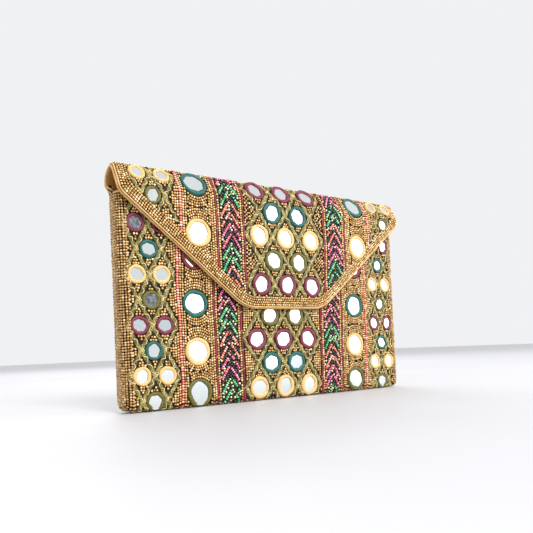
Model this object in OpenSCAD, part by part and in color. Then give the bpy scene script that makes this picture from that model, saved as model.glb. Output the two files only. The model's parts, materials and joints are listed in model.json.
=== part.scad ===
// Envelope clutch purse: a flat stiffened pouch with an embroidered flap that folds over its top.
// Frame: X runs along the width, -Y is the front, +Z is up, in millimetres.
// Origin: the middle of the base, on the surface that the purse stands on.

/* [Overall size] */
// Width over the side seam cords
purse_w = 280; // [270:1:290]
// Height from the base to the beads on the folded top edge
purse_h = 177; // [174:1:180]
// Thickness of the pouch between its outer cloth faces
pouch_t = 18; // [17:0.5:20]

/* [Layers] */
// Thickness of the outer cloth
cloth_t = 0.8; // [0.6:0.1:1]
// Thickness of the stiffening boards
board_t = 1.0; // [0.8:0.1:1.2]
// Thickness of the satin lining
lining_t = 0.5; // [0.4:0.1:0.6]
// Height that beads stand above the cloth
bead_t = 1.5; // [1.2:0.1:1.7]
// Height that a mirror's thread ring stands above the cloth
ring_t = 2.1; // [1.8:0.1:2.2]

/* [Pouch] */
// Height of the front panel's top hem
mouth_z = 156; // [150:1:157]
// Radius of the bends along the base
base_r = 4; // [3:0.5:5]
// Radius of the pouch's front side edges
side_r = 4; // [3:0.5:5]
// Radius of the lower corners seen from the front
corner_r = 8; // [5:1:12]
// Diameter of the side seam cords
seam_d = 1.6; // [1.2:0.1:2]

/* [Flap and fold] */
// Distance from the middle plane to the flap's outer cloth face
flap_y = 14.1; // [14:0.1:15]
// Height of the flap's straight lower edge
flap_bottom_z = 75; // [70:1:80]
// Half the length of the flap's straight lower edge
flap_bottom_half = 39; // [30:1:50]
// Height of the flap's two outer corners
flap_tip_z = 155; // [150:1:156]
// Radius of the flap's two lower corners
flap_corner_r = 20; // [10:1:30]
// Diameter of the satin piping along the flap's edge
piping_d = 2.4; // [2:0.1:2.6]
// Lean of the fold's front strip from the vertical, in degrees
front_lean = 30; // [28:1:32]
// Distance of the fold's crest in front of the middle plane
crest_front = 4; // [3:0.5:5]
// Radius of the fold's crest
crest_r = 6; // [5:0.5:8]
// Radius of the two shoulders of the fold
shoulder_r = 10; // [8:1:12]

/* [Mirrors] */
// Outer diameter of the large mirrors' rings
large_d = 21.5; // [20:0.5:22]
// Outer diameter of the middle lattice's rings
middle_d = 18; // [16:0.5:18]
// Outer diameter of the side lattices' rings
side_d = 14.4; // [12:0.4:14.8]
// Height between rows of the middle lattice
middle_pitch = 19.5; // [19:0.1:20]
// Height between rows of the side lattices
side_pitch = 18.2; // [18:0.1:18.6]
// Heights of the large mirrors; the topmost is only on the back
large_zs = [11.5, 42, 77.5, 113, 148];

/* [Columns] */
// Half the width of one diamond of the middle lattice
middle_half = 13.2; // [13:0.1:13.2]
// Half the width of one diamond of the side lattices
side_half = 9.3; // [9:0.1:9.3]
// Distance from the middle to the side lattices' centre lines
side_x = 117.4; // [116:0.1:118]
// Distance from the middle to the inner maroon cords
inner_cord_x = 42.4; // [42.2:0.1:42.8]
// Distance from the middle to the outer maroon cords
outer_cord_x = 67; // [66:0.1:68]
// Distance from the middle to the large mirrors
large_x = 82; // [81:0.1:83]
// Distance from the middle to the coral bead lines
coral_x = 96.4; // [96:0.1:96.8]
// Height between arrow rows
arrow_pitch = 9; // [8.5:0.1:9.5]

/* [Snap] */
// Diameter of the snap socket and of the stud's plate
snap_d = 15; // [13:0.5:16]
// Diameter of the snap stud
stud_d = 5.4; // [5:0.1:6]
// Radial clearance of the stud in the socket
stud_gap = 0.4; // [0.3:0.1:0.6]

/* [Hidden] */
$fn = 64;

// Colours
gold_bead = "#c89655";
satin_gold = "#e1aa5a";
maroon = "#7d1e41";
teal = "#005a55";
cream = "#f0be6e";
olive = "#5f5a14";
braid_green = "#6e6e32";
cord_red = "#96193c";
coral = "#eb5a3c";
pink = "#d73c6e";
green = "#3cb45a";
black = "#1e1e23";
ground = "#5a4020";
silver = "#d8dce0";
card = "#b9a888";

// Pouch planes
back_y = pouch_t / 2;
front_y = -pouch_t / 2;
pouch_half = purse_w / 2 - seam_d;
inner_gap = cloth_t + board_t;
lining_in = inner_gap + lining_t;
back_side_r = 4;

// Fold: outer corners of the cloth's path before rounding, as [y, z]
back_lean = 90 - front_lean;
crest_z = purse_h - bead_t - crest_r + crest_r * sqrt(2) * cos(45 - front_lean);
crest_corner = [-crest_front, crest_z];
front_corner = [-flap_y, crest_z - (flap_y - crest_front) / tan(front_lean)];
back_corner = [back_y, crest_z - (back_y + crest_front) / tan(back_lean)];

// A rounded corner's middle lies inside the sharp corner by this much
function corner_inset(r, turn) = r * (1 / cos(turn / 2) - 1);
// Outward normal of the cloth where it has turned by a from the flap's face
function normal_at(a) = [-cos(a), sin(a)];
function fold_line(corner, r, turn, a) = corner - corner_inset(r, turn) * normal_at(a);

// Hinge lines on the cloth, as [y, z]
front_hinge = fold_line(front_corner, shoulder_r, front_lean, front_lean / 2);
crest_hinge = fold_line(crest_corner, crest_r, 90, front_lean + 45);
back_hinge = fold_line(back_corner, shoulder_r, back_lean, 180 - back_lean / 2);
front_strip_l = norm(crest_hinge - front_hinge);
back_strip_l = norm(back_hinge - crest_hinge);
hinge_gap = 1.2;
fold_half = purse_w / 2;
flap_top_z = front_hinge[1] - hinge_gap;

// Flap outline
edge_slope = (flap_tip_z - flap_bottom_z) / (purse_w / 2 - flap_bottom_half);
edge_angle = atan(edge_slope);
border_w = 8;
function flap_edge_z(x) = flap_bottom_z + max(0, abs(x) - flap_bottom_half) * edge_slope;

// Embroidery
ring_lip = 1.3;
mirror_t = 0.8;
mirror_gap = 0.1;
middle_braid_w = 2.6;
side_braid_w = 1.9;
cord_w = 1.8;
row_w = 1.4;
arrow_half = 8;
arrow_rise = 9;
arrow_w = 2.2;
ground_t = 0.4;
arrow_x = (inner_cord_x + outer_cord_x) / 2 - 0.6;
ground_half = 8.8;
pattern_z0 = 5;
pattern_z1 = mouth_z - 2;
back_z1 = back_hinge[1] - 4;

// Mirror rows, as [x, z, ring radius, colour]
middle_z0 = 10.6;
side_z0 = 7.6;
middle_colours = [cream, teal, maroon, olive];
side_colours = [olive, cream, teal, maroon];
large_colours = [olive, cream, teal, maroon, olive];
flap_large_z = 130;
flap_row_z = 93;
flap_side_z = 152;
flap_side_r = side_d / 2 - 0.8;
snap_z = middle_z0 + 4 * middle_pitch;

// Cells of a lattice: rows hold n_even or n_odd mirrors by turns
function cells(x0, half, z0, pitch, rows, n_even, n_odd, r, colours) = [
    for (row = [0 : rows - 1])
        let (n = row % 2 == 0 ? n_even : n_odd)
        for (k = [0 : n - 1])
            [x0 + (2 * k - n + 1) * half, z0 + row * pitch, r, colours[row % len(colours)]]];

function panel_stones(middle_rows, side_rows, large_rows) = concat(
    cells(0, middle_half, middle_z0, middle_pitch, middle_rows, 3, 2, middle_d / 2, middle_colours),
    [for (s = [-1, 1]) each cells(s * side_x, side_half, side_z0, side_pitch, side_rows, 1, 2,
        side_d / 2, side_colours)],
    [for (s = [-1, 1], k = [0 : large_rows - 1])
        [s * large_x, large_zs[k], large_d / 2, large_colours[k]]]);
front_rows = [7, 8, 4];
back_rows = [8, 9, 5];
back_stones = panel_stones(back_rows[0], back_rows[1], back_rows[2]);
// The snap socket takes one mirror's place on the front
front_stones = [for (s = panel_stones(front_rows[0], front_rows[1], front_rows[2]))
    if (norm([s[0], s[1] - snap_z]) > snap_d) s];
flap_stones = concat(
    cells(0, middle_half, flap_row_z, middle_pitch, 4, 3, 2, middle_d / 2,
        [maroon, olive, cream, teal]),
    [for (s = [-1, 1]) [s * large_x, flap_large_z, large_d / 2, cream]],
    [for (s = [-1, 1]) [s * side_x, flap_side_z, flap_side_r, olive]]);
strip_mid = front_strip_l / 2;
strip_ring_r = strip_mid - 0.4;
strip_stones = concat(
    [for (k = [-1 : 1]) [k * 2 * middle_half, strip_mid, middle_d / 2, maroon]],
    [for (s = [-1, 1]) [s * large_x, strip_mid, strip_ring_r, teal]],
    [for (s = [-1, 1], k = [-1, 1]) [s * side_x + k * side_half, strip_mid, side_d / 2, cream]]);

// --- Placing flat patterns on the panels: pattern x runs along X, pattern y runs up the cloth ---

module on_front(level = 0) translate([0, front_y - level, 0]) rotate([90, 0, 0]) children();

module on_back(level = 0) translate([0, back_y + level, 0]) rotate([90, 0, 180]) children();

module on_flap(level = 0) translate([0, -flap_y - level, 0]) rotate([90, 0, 0]) children();

module on_strip(from, to, level = 0) {
    d = to - from;
    translate([0, from[0], from[1]]) rotate([atan2(d[1], d[0]), 0, 0]) translate([0, 0, level])
        children();
}

module on_front_strip(level = 0) on_strip(front_hinge, crest_hinge, level) children();

module on_back_strip(level = 0) on_strip(crest_hinge, back_hinge, level) children();

// --- Pouch shape ---

// Rounded box whose walls lie i inside the outer cloth face
module pouch_solid(i) {
    intersection() {
        linear_extrude(height = 200) section_xy(i);
        rotate([90, 0, 90]) translate([0, 0, -purse_w / 2]) linear_extrude(height = purse_w)
            section_yz(i);
        rotate([90, 0, 0]) translate([0, 0, -pouch_t]) linear_extrude(height = 2 * pouch_t)
            section_xz(i);
    }
}

module section_xy(i) {
    cx = pouch_half - side_r;
    bx = pouch_half - back_side_r;
    for (s = [-1, 1]) {
        translate([s * cx, front_y + side_r]) circle(r = side_r - i);
        translate([s * bx, back_y - back_side_r]) circle(r = back_side_r - i);
    }
    translate([-cx, front_y + i]) square([2 * cx, pouch_t - 2 * i]);
    translate([-bx, 0]) square([2 * bx, back_y - i]);
    translate([-pouch_half + i, front_y + side_r])
        square([2 * (pouch_half - i), pouch_t - side_r - back_side_r]);
}

module section_yz(i) {
    flat = back_y - base_r;
    for (s = [-1, 1]) translate([s * flat, base_r]) circle(r = base_r - i);
    translate([-flat, i]) square([2 * flat, 30]);
    translate([front_y + i, base_r]) square([pouch_t - 2 * i, 200 - base_r]);
}

module section_xz(i) {
    cx = pouch_half - corner_r;
    for (s = [-1, 1]) translate([s * cx, corner_r]) circle(r = corner_r - i);
    translate([-cx, i]) square([2 * cx, 30]);
    translate([-pouch_half + i, corner_r]) square([2 * (pouch_half - i), 200 - corner_r]);
}

module outer_cloth() {
    color(ground) difference() {
        pouch_solid(0);
        pouch_solid(cloth_t);
        // The mouth: only the back panel goes on up to the fold
        translate([-purse_w, -pouch_t, mouth_z]) cube([2 * purse_w, pouch_t + back_y - cloth_t, 100]);
        translate([-purse_w, -pouch_t, back_hinge[1] - hinge_gap]) cube([2 * purse_w, 2 * pouch_t, 100]);
    }
}

module lining_bag() {
    color(satin_gold) difference() {
        pouch_solid(inner_gap);
        pouch_solid(lining_in);
        translate([-purse_w, -pouch_t, mouth_z - 1]) cube([2 * purse_w, 2 * pouch_t, 100]);
    }
}

// A rounded board standing on the inside of the cloth
module board(width, z0, z1, r) {
    linear_extrude(height = board_t) {
        translate([-width / 2 + r, z0]) square([width - 2 * r, z1 - z0]);
        translate([-width / 2, z0 + r]) square([width, z1 - z0 - r]);
        for (s = [-1, 1]) translate([s * (width / 2 - r), z0 + r]) circle(r = r);
    }
}

module front_board() {
    color(card) difference() {
        on_front(-inner_gap) board(2 * (pouch_half - side_r - 1), base_r + 1, mouth_z - 2, 6);
        // Room for the snap's washer and prongs
        translate([0, 0, snap_z]) rotate([90, 0, 0])
            cylinder(d = snap_d + 1, h = 2 * pouch_t, center = true);
    }
}

module back_board() {
    color(card) on_back(-inner_gap) board(2 * (pouch_half - side_r - 1), base_r + 1, mouth_z - 2, 6);
}

module slip_pocket() {
    pocket_w = 120;
    color(satin_gold) translate([-pocket_w / 2, back_y - lining_in - lining_t - 0.2, 60])
        cube([pocket_w, lining_t, 70]);
}

module side_seam_cords() {
    color(gold_bead) for (s = [-1, 1]) translate([s * (pouch_half + seam_d / 2), 2, corner_r])
        cylinder(d = seam_d, h = mouth_z - corner_r);
}

module mouth_piping() {
    length = 2 * (pouch_half - side_r);
    color(satin_gold) translate([-length / 2, front_y + 1, mouth_z + 1]) rotate([0, 90, 0])
        cylinder(d = 2, h = length);
}

// --- Magnetic snap ---

module snap_socket() {
    stud_room = stud_d / 2 + stud_gap;
    color(silver) translate([0, front_y, snap_z]) rotate([90, 0, 0]) difference() {
        cylinder(d = snap_d, h = 1.9);
        translate([0, 0, 0.3]) cylinder(r = stud_room, h = 3);
    }
}

module socket_washer() {
    color(silver) translate([0, front_y + cloth_t, snap_z]) rotate([-90, 0, 0]) difference() {
        cylinder(d = snap_d - 1, h = 0.6);
        for (s = [-1, 1]) translate([s * 4 - 0.5, -1.5, -1]) cube([1, 3, 3]);
    }
}

module snap_stud() {
    plate_y = -flap_y + cloth_t + board_t + lining_t;
    color(silver) translate([0, plate_y, snap_z]) rotate([-90, 0, 0]) {
        cylinder(d = snap_d, h = 0.6);
        translate([0, 0, 0.6]) cylinder(d = stud_d, h = 1.5);
    }
}

module stud_washer() {
    color(silver) translate([0, -flap_y + cloth_t, snap_z]) rotate([-90, 0, 0]) difference() {
        cylinder(d = snap_d - 1, h = 0.6);
        for (s = [-1, 1]) translate([s * 4 - 0.5, -1.5, -1]) cube([1, 3, 3]);
    }
}

// --- Embroidery patterns, drawn on z = 0 and standing up ---

// Mirror disc held under the lip of its ring
module mirror_disc(r) cylinder(r = r - 1.5, h = mirror_t);

module thread_ring(r) {
    inner = r - 1.5 + mirror_gap;
    rotate_extrude() polygon([[inner, 0], [r, 0], [r, ring_t - 0.6], [r - 0.6, ring_t],
        [inner - ring_lip, ring_t], [inner - ring_lip, mirror_t + mirror_gap],
        [inner, mirror_t + mirror_gap]]);
}

module mirror_set(stones) {
    color(silver) for (s = stones) translate([s[0], s[1], 0]) mirror_disc(s[2]);
}

module ring_set(stones, colour) {
    color(colour) for (s = stones) if (s[3] == colour) translate([s[0], s[1], 0]) thread_ring(s[2]);
}

// Zigzag braids whose turns meet and enclose one diamond round each mirror
module braid_set(x0, half, z0, pitch, rows, lines, width) {
    dx = width / 2 * norm([half, pitch]) / pitch;
    for (j = lines) {
        turns = [for (row = [0 : rows - 1]) [x0 + (j + (row + j + 101) % 2) * half, z0 + row * pitch]];
        linear_extrude(height = bead_t - 0.2) polygon(concat(
            [for (p = turns) [p[0] - dx, p[1]]],
            [for (i = [rows - 1 : -1 : 0]) [turns[i][0] + dx, turns[i][1]]]));
    }
}

module column(x, z0, z1, width, height) {
    translate([x - width / 2, z0, 0]) cube([width, z1 - z0, height]);
}

module arrow(x, apex) {
    lift = arrow_w;
    translate([x, apex, ground_t]) linear_extrude(height = bead_t - ground_t) polygon([[0, 0],
        [arrow_half, -arrow_rise], [arrow_half, -arrow_rise - lift], [0, -lift],
        [-arrow_half, -arrow_rise - lift], [-arrow_half, -arrow_rise]]);
}

// Arrow rows of one colour, in pairs of pink, green and coral from the top down
module arrow_set(x, z_low, z_high, top_index, index) {
    rows = floor((z_high - z_low - arrow_rise - arrow_w) / arrow_pitch);
    for (k = [0 : rows]) if (floor((k + top_index) / 2) % 3 == index) arrow(x, z_high - k * arrow_pitch);
}

module body_arrows(colour, index) {
    color(colour) for (s = [-1, 1]) {
        on_front() arrow_set(s * arrow_x, pattern_z0, pattern_z1, s > 0 ? 4 : 0, index);
        on_back() arrow_set(s * arrow_x, pattern_z0, back_z1, s > 0 ? 4 : 0, index);
    }
}

module flap_arrows(colour, index) {
    color(colour) on_flap() for (s = [-1, 1])
        arrow_set(s * arrow_x, flap_edge_z(arrow_x + arrow_half) + border_w, flap_top_z - 0.5, 2, index);
}

// All three lattices of one panel, kept on its flat part
module panel_braids(rows) {
    flat = pouch_half - side_r + 0.4;
    intersection() {
        union() {
            braid_set(0, middle_half, middle_z0, middle_pitch, rows[0], [-3 : 2], middle_braid_w);
            for (s = [-1, 1])
                braid_set(s * side_x, side_half, side_z0, side_pitch, rows[1], [-2 : 1], side_braid_w);
        }
        translate([-flat, 0, 0]) cube([2 * flat, 200, bead_t]);
    }
}

module body_braids() {
    color(braid_green) {
        on_front() panel_braids(front_rows);
        on_back() panel_braids(back_rows);
    }
}

module body_columns(xs, width, height) {
    for (x = xs, s = [-1, 1]) {
        on_front() column(s * x, pattern_z0, pattern_z1, width, height);
        on_back() column(s * x, pattern_z0, back_z1, width, height);
    }
}

module flap_columns(xs, width, height) {
    on_flap() for (x = xs, s = [-1, 1])
        column(s * x, flap_edge_z(x + width / 2) + border_w, flap_top_z, width, height);
}

module strip_columns(xs, width, height, length) {
    for (x = xs, s = [-1, 1]) column(s * x, hinge_gap, length - hinge_gap, width, height);
}

gold_row_xs = [inner_cord_x + 1.8, outer_cord_x - 1.8, outer_cord_x + 1.8, coral_x - 1.8];
cord_xs = [inner_cord_x, outer_cord_x];

// Gold beads that fill the large mirrors' column between its rings
module mirror_column_fill(z0, z1, stones) {
    x0 = outer_cord_x + 3;
    x1 = coral_x - 3;
    for (s = [-1, 1]) difference() {
        column(s * (x0 + x1) / 2, z0, z1, x1 - x0, bead_t);
        for (m = stones) if (m[0] * s > x0 && m[0] * s < x1) translate([m[0], m[1], -1])
            cylinder(r = m[2] + 0.4, h = 5);
    }
}

module body_gold_beads() {
    color(gold_bead) {
        body_columns(gold_row_xs, row_w, bead_t);
        on_front() mirror_column_fill(pattern_z0, pattern_z1, front_stones);
        on_back() mirror_column_fill(pattern_z0, back_z1, back_stones);
    }
}

// Strings of gold beads that run up the rounded side edges and the side walls
module side_edge_beads() {
    r = side_r + row_w / 2;
    edge_x = pouch_half - side_r;
    edge_y = front_y + side_r;
    corner_places = [for (a = [30, 60]) [edge_x + r * sin(a), edge_y - r * cos(a)]];
    wall_places = [for (k = [0 : 3]) [edge_x + r, edge_y + 1.8 * k - 0.2]];
    color(gold_bead) for (s = [-1, 1], p = concat(corner_places, wall_places))
        translate([s * p[0], p[1], corner_r]) cylinder(d = row_w, h = mouth_z - corner_r);
}

// --- Fold strips ---

module strip_sheet(length, half, depth, t) {
    translate([-half, hinge_gap, -depth - t]) cube([2 * half, length - 2 * hinge_gap, t]);
}

module fold_back_cloth() color(ground) on_back_strip() strip_sheet(back_strip_l, fold_half, 0, cloth_t);

module fold_back_lining()
    color(satin_gold) on_back_strip() strip_sheet(back_strip_l, fold_half, cloth_t, lining_t);

module fold_back_cords()
    color(cord_red) on_back_strip() strip_columns(cord_xs, cord_w, bead_t, back_strip_l);

module fold_back_gold_beads() {
    color(gold_bead) on_back_strip() {
        strip_columns(gold_row_xs, row_w, bead_t, back_strip_l);
        strip_columns([for (k = [0 : 3]) fold_half - 1 - k * 2], row_w, bead_t, back_strip_l);
    }
}

module fold_front_cloth()
    color(ground) on_front_strip() strip_sheet(front_strip_l, fold_half, 0, cloth_t);

module fold_front_lining()
    color(satin_gold) on_front_strip() strip_sheet(front_strip_l, fold_half, cloth_t, lining_t);

module fold_front_mirrors() on_front_strip() mirror_set(strip_stones);

module fold_front_cords()
    color(cord_red) on_front_strip() strip_columns(cord_xs, cord_w, bead_t, front_strip_l);

module fold_front_arrows() {
    color(green) on_front_strip() for (s = [-1, 1]) arrow(s * arrow_x, front_strip_l - 2);
}

module fold_front_gold_beads() {
    color(gold_bead) on_front_strip() {
        strip_columns(gold_row_xs, row_w, bead_t, front_strip_l);
        strip_columns([for (k = [0 : 1]) fold_half - 1 - k * 2], row_w, bead_t, front_strip_l);
    }
}

// --- Flap ---

// Points of the flap's outline up to a height top, moved inwards by d, with rounded lower corners
function flap_outline(d, top = flap_top_z) =
    let (half = purse_w / 2 - d,
        r = flap_corner_r - d,
        bottom = flap_bottom_z + d,
        // Where the slanting edge meets the lower edge before rounding
        cx = flap_bottom_half - d * tan(edge_angle / 2),
        back_off = r * tan(edge_angle / 2),
        tip = flap_tip_z + d * (1 / cos(edge_angle) - edge_slope),
        right = concat(
            [for (a = [0 : edge_angle / 6 : edge_angle + 0.01])
                [cx - back_off + r * sin(a), bottom + r - r * cos(a)]],
            [[half, tip], [half, top]]))
    concat(right, [for (i = [len(right) - 1 : -1 : 0]) [-right[i][0], right[i][1]]]);

module flap_sheet(d, depth, t) {
    on_flap(-depth - t) linear_extrude(height = t) polygon(flap_outline(d));
}

module flap_cloth() color(ground) flap_sheet(piping_d, 0, cloth_t);

module flap_board() {
    color(card) difference() {
        flap_sheet(piping_d + 1, cloth_t, board_t);
        translate([0, 0, snap_z]) rotate([90, 0, 0]) cylinder(d = snap_d + 1, h = 3 * pouch_t);
    }
}

module flap_lining() color(satin_gold) flap_sheet(piping_d, cloth_t + board_t, lining_t);

module flap_piping() {
    color(satin_gold) on_flap(-cloth_t - board_t - lining_t)
        linear_extrude(height = cloth_t + board_t + lining_t + 0.8) difference() {
            polygon(flap_outline(0));
            polygon(flap_outline(piping_d, flap_top_z + 1));
        }
}

module flap_braids() {
    color(braid_green) on_flap()
        braid_set(0, middle_half, flap_row_z, middle_pitch, 4, [-3 : 2], middle_braid_w);
}

// Row of gold beads that follows the flap's edge
module flap_border() {
    inset = piping_d + 0.6;
    linear_extrude(height = bead_t) difference() {
        polygon(flap_outline(inset));
        polygon(flap_outline(inset + row_w, flap_top_z + 1));
    }
}

module flap_gold_beads() {
    color(gold_bead) {
        on_flap() flap_border();
        flap_columns(gold_row_xs, row_w, bead_t);
    }
}

module flap_black_ground() {
    color(black) flap_columns([arrow_x], 2 * ground_half, ground_t);
}

module flap_coral_lines() color(coral) flap_columns([coral_x], row_w, bead_t);

module flap_maroon_cords() color(cord_red) flap_columns(cord_xs, cord_w, bead_t);

module body_black_ground() color(black) body_columns([arrow_x], 2 * ground_half, ground_t);

module body_maroon_cords() color(cord_red) body_columns(cord_xs, cord_w, bead_t);

module body_coral_lines() color(coral) body_columns([coral_x], row_w, bead_t);

module body_mirrors() {
    on_front() mirror_set(front_stones);
    on_back() mirror_set(back_stones);
}

module body_rings(colour) {
    on_front() ring_set(front_stones, colour);
    on_back() ring_set(back_stones, colour);
}

outer_cloth();
front_board();
back_board();
lining_bag();
slip_pocket();
side_seam_cords();
mouth_piping();
snap_socket();
socket_washer();
body_mirrors();
body_rings(maroon);  // body_rings_maroon
body_rings(teal);  // body_rings_teal
body_rings(cream);  // body_rings_cream
body_rings(olive);  // body_rings_olive
body_braids();
body_maroon_cords();
body_coral_lines();
body_black_ground();
body_arrows(pink, 0);  // body_arrows_pink
body_arrows(green, 1);  // body_arrows_green
body_arrows(coral, 2);  // body_arrows_coral
body_gold_beads();
side_edge_beads();
fold_back_cloth();
fold_back_lining();
fold_back_cords();
fold_back_gold_beads();
fold_front_cloth();
fold_front_lining();
fold_front_mirrors();
on_front_strip() ring_set(strip_stones, maroon);  // fold_front_rings_maroon
on_front_strip() ring_set(strip_stones, teal);  // fold_front_rings_teal
on_front_strip() ring_set(strip_stones, cream);  // fold_front_rings_cream
fold_front_cords();
fold_front_arrows();
fold_front_gold_beads();
flap_cloth();
flap_board();
flap_lining();
flap_piping();
snap_stud();
stud_washer();
on_flap() mirror_set(flap_stones);  // flap_mirrors
on_flap() ring_set(flap_stones, maroon);  // flap_rings_maroon
on_flap() ring_set(flap_stones, teal);  // flap_rings_teal
on_flap() ring_set(flap_stones, cream);  // flap_rings_cream
on_flap() ring_set(flap_stones, olive);  // flap_rings_olive
flap_braids();
flap_maroon_cords();
flap_coral_lines();
flap_black_ground();
flap_arrows(pink, 0);  // flap_arrows_pink
flap_arrows(green, 1);  // flap_arrows_green
flap_arrows(coral, 2);  // flap_arrows_coral
flap_gold_beads();
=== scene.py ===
"""Looks of the mirror-work clutch purse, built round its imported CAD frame. Lengths are in millimetres."""

import json
import math

import bpy
import numpy as np
from mathutils import Matrix, Vector

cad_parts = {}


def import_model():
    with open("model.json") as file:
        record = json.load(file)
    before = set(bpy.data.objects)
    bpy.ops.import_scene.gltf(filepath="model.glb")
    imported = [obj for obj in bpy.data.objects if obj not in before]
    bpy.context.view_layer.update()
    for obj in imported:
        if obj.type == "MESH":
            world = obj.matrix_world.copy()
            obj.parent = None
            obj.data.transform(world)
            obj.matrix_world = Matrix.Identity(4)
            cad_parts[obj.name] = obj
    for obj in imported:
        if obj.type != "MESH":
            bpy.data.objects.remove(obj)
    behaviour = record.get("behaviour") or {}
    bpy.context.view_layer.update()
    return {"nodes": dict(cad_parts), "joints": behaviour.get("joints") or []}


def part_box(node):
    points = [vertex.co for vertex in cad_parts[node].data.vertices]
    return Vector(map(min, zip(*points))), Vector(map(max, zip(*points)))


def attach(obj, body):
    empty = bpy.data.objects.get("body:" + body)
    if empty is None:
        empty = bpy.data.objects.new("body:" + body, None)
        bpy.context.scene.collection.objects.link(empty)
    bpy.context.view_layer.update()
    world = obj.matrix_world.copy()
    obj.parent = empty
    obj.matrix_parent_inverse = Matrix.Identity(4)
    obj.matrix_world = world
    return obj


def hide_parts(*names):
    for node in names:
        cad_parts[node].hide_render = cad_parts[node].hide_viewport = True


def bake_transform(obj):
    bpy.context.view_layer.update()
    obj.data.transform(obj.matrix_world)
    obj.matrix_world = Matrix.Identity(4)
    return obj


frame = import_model()
rng = np.random.default_rng(11)
MM = 0.001


def low(node):
    return np.array(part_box(node)[0]) / MM


def high(node):
    return np.array(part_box(node)[1]) / MM


def joint(name):
    return next(j for j in frame["joints"] if j["name"] == name)


# ---------------------------------------------------------------- the cloth's path across the purse
FLAP_Y = low("flap_cloth")[1]
FRONT_Y = low("outer_cloth")[1]
BACK_Y = high("outer_cloth")[1]
FOLD_HALF = high("fold_front_cloth")[0]
SEAM_HALF = high("outer_cloth")[0]
MOUTH_PIPING_D = 2.0
MOUTH_Z = high("mouth_piping")[2] - MOUTH_PIPING_D
BASE_Z = 2.1  # the base cloth stands on its own beads
BASE_R = 2.6
BENDS = (("front_fold", 10.0), ("crest_fold", 6.0), ("back_fold", 10.0))  # joint and radius of the bend


def outward(a):
    """Outward direction (y, z) of the cloth once it has turned by a from the flap's face."""
    return np.stack([-np.cos(a), np.sin(a)], -1)


def onward(a):
    """Direction (y, z) in which the path runs on."""
    return np.stack([np.sin(a), np.cos(a)], -1)


def path_corners():
    """The path's corners before rounding: place, radius and turn."""
    corners, turned = [], 0.0
    for name, radius in BENDS:
        j = joint(name)
        turn = math.radians(j["range_deg"][1])
        inset = radius * (1 / math.cos(turn / 2) - 1)
        place = np.array(j["pos_m"][1:]) / MM + inset * outward(turned + turn / 2)
        corners.append((place, radius, turn))
        turned += turn
    for y in (BACK_Y, FRONT_Y):
        corners.append((np.array([y, BASE_Z]), BASE_R, math.pi / 2))
    return corners


def path_segments():
    """Straights and bends by turns: start length, start place, start angle, bend radius (0 on a straight)."""
    place, angle, s, rows = np.array([FLAP_Y, 0.0]), 0.0, 0.0, []
    for corner, radius, turn in path_corners():
        straight = np.linalg.norm(corner - place) - radius * math.tan(turn / 2)
        rows.append((s, *place, angle, 0.0))
        s += straight
        place = place + straight * onward(angle)
        rows.append((s, *place, angle, radius))
        centre = place - radius * outward(angle)
        angle += turn
        place = centre + radius * outward(angle)
        s += radius * turn
    rows.append((s, *place, angle, 0.0))
    return np.array(rows)


SEG = path_segments()
S_FRONT = SEG[-1, 0] - SEG[-1, 2]  # on the front panel s = S_FRONT + z
S_BACK = SEG[6, 0] + SEG[6, 2]  # on the back panel s = S_BACK - z
S_END = S_FRONT + MOUTH_Z


def path_at(s):
    """(y, z) of the cloth's outer face at length s along the path; on the flap s is the height."""
    s = np.asarray(s, float)
    seg = SEG[np.clip(np.searchsorted(SEG[:, 0], s, side="right") - 1, 0, len(SEG) - 1)]
    d, place, angle, radius = s - seg[..., 0], seg[..., 1:3], seg[..., 3], seg[..., 4]
    bent = radius > 0
    turned = angle + np.where(bent, d / np.where(bent, radius, 1), 0)
    arc = place + radius[..., None] * (outward(turned) - outward(angle))
    return np.where(bent[..., None], arc, place + d[..., None] * onward(angle))


# ---------------------------------------------------------------- the cloth's surface
SIDE_R = 4.0  # rounding of the side edges
EDGE_X = SEAM_HALF - SIDE_R
HALF_T = BACK_Y
SEAM_Y = 2.0  # the side seams lie a little behind the middle of the thickness
WALL_L = HALF_T - SIDE_R + SEAM_Y
SEAM_X = EDGE_X + SIDE_R * math.pi / 2 + WALL_L  # x measured along the cloth at the side seam
CORNER_R = 6.0
CORNER_RISE = 24.0  # up to this height the lower corners are rounded
WRAP_L = 6.0
WRAP = (S_BACK - MOUTH_Z - WRAP_L, S_BACK - MOUTH_Z)  # the back's sides turn in between these lengths


def smooth(t):
    t = np.clip(t, 0, 1)
    return t * t * (3 - 2 * t)


def bulge(x, s):
    """How far the flap's face stands out in its middle."""
    return 0.9 * smooth((118 - np.abs(x)) / 50) * smooth((156 - s) / 40)


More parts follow.
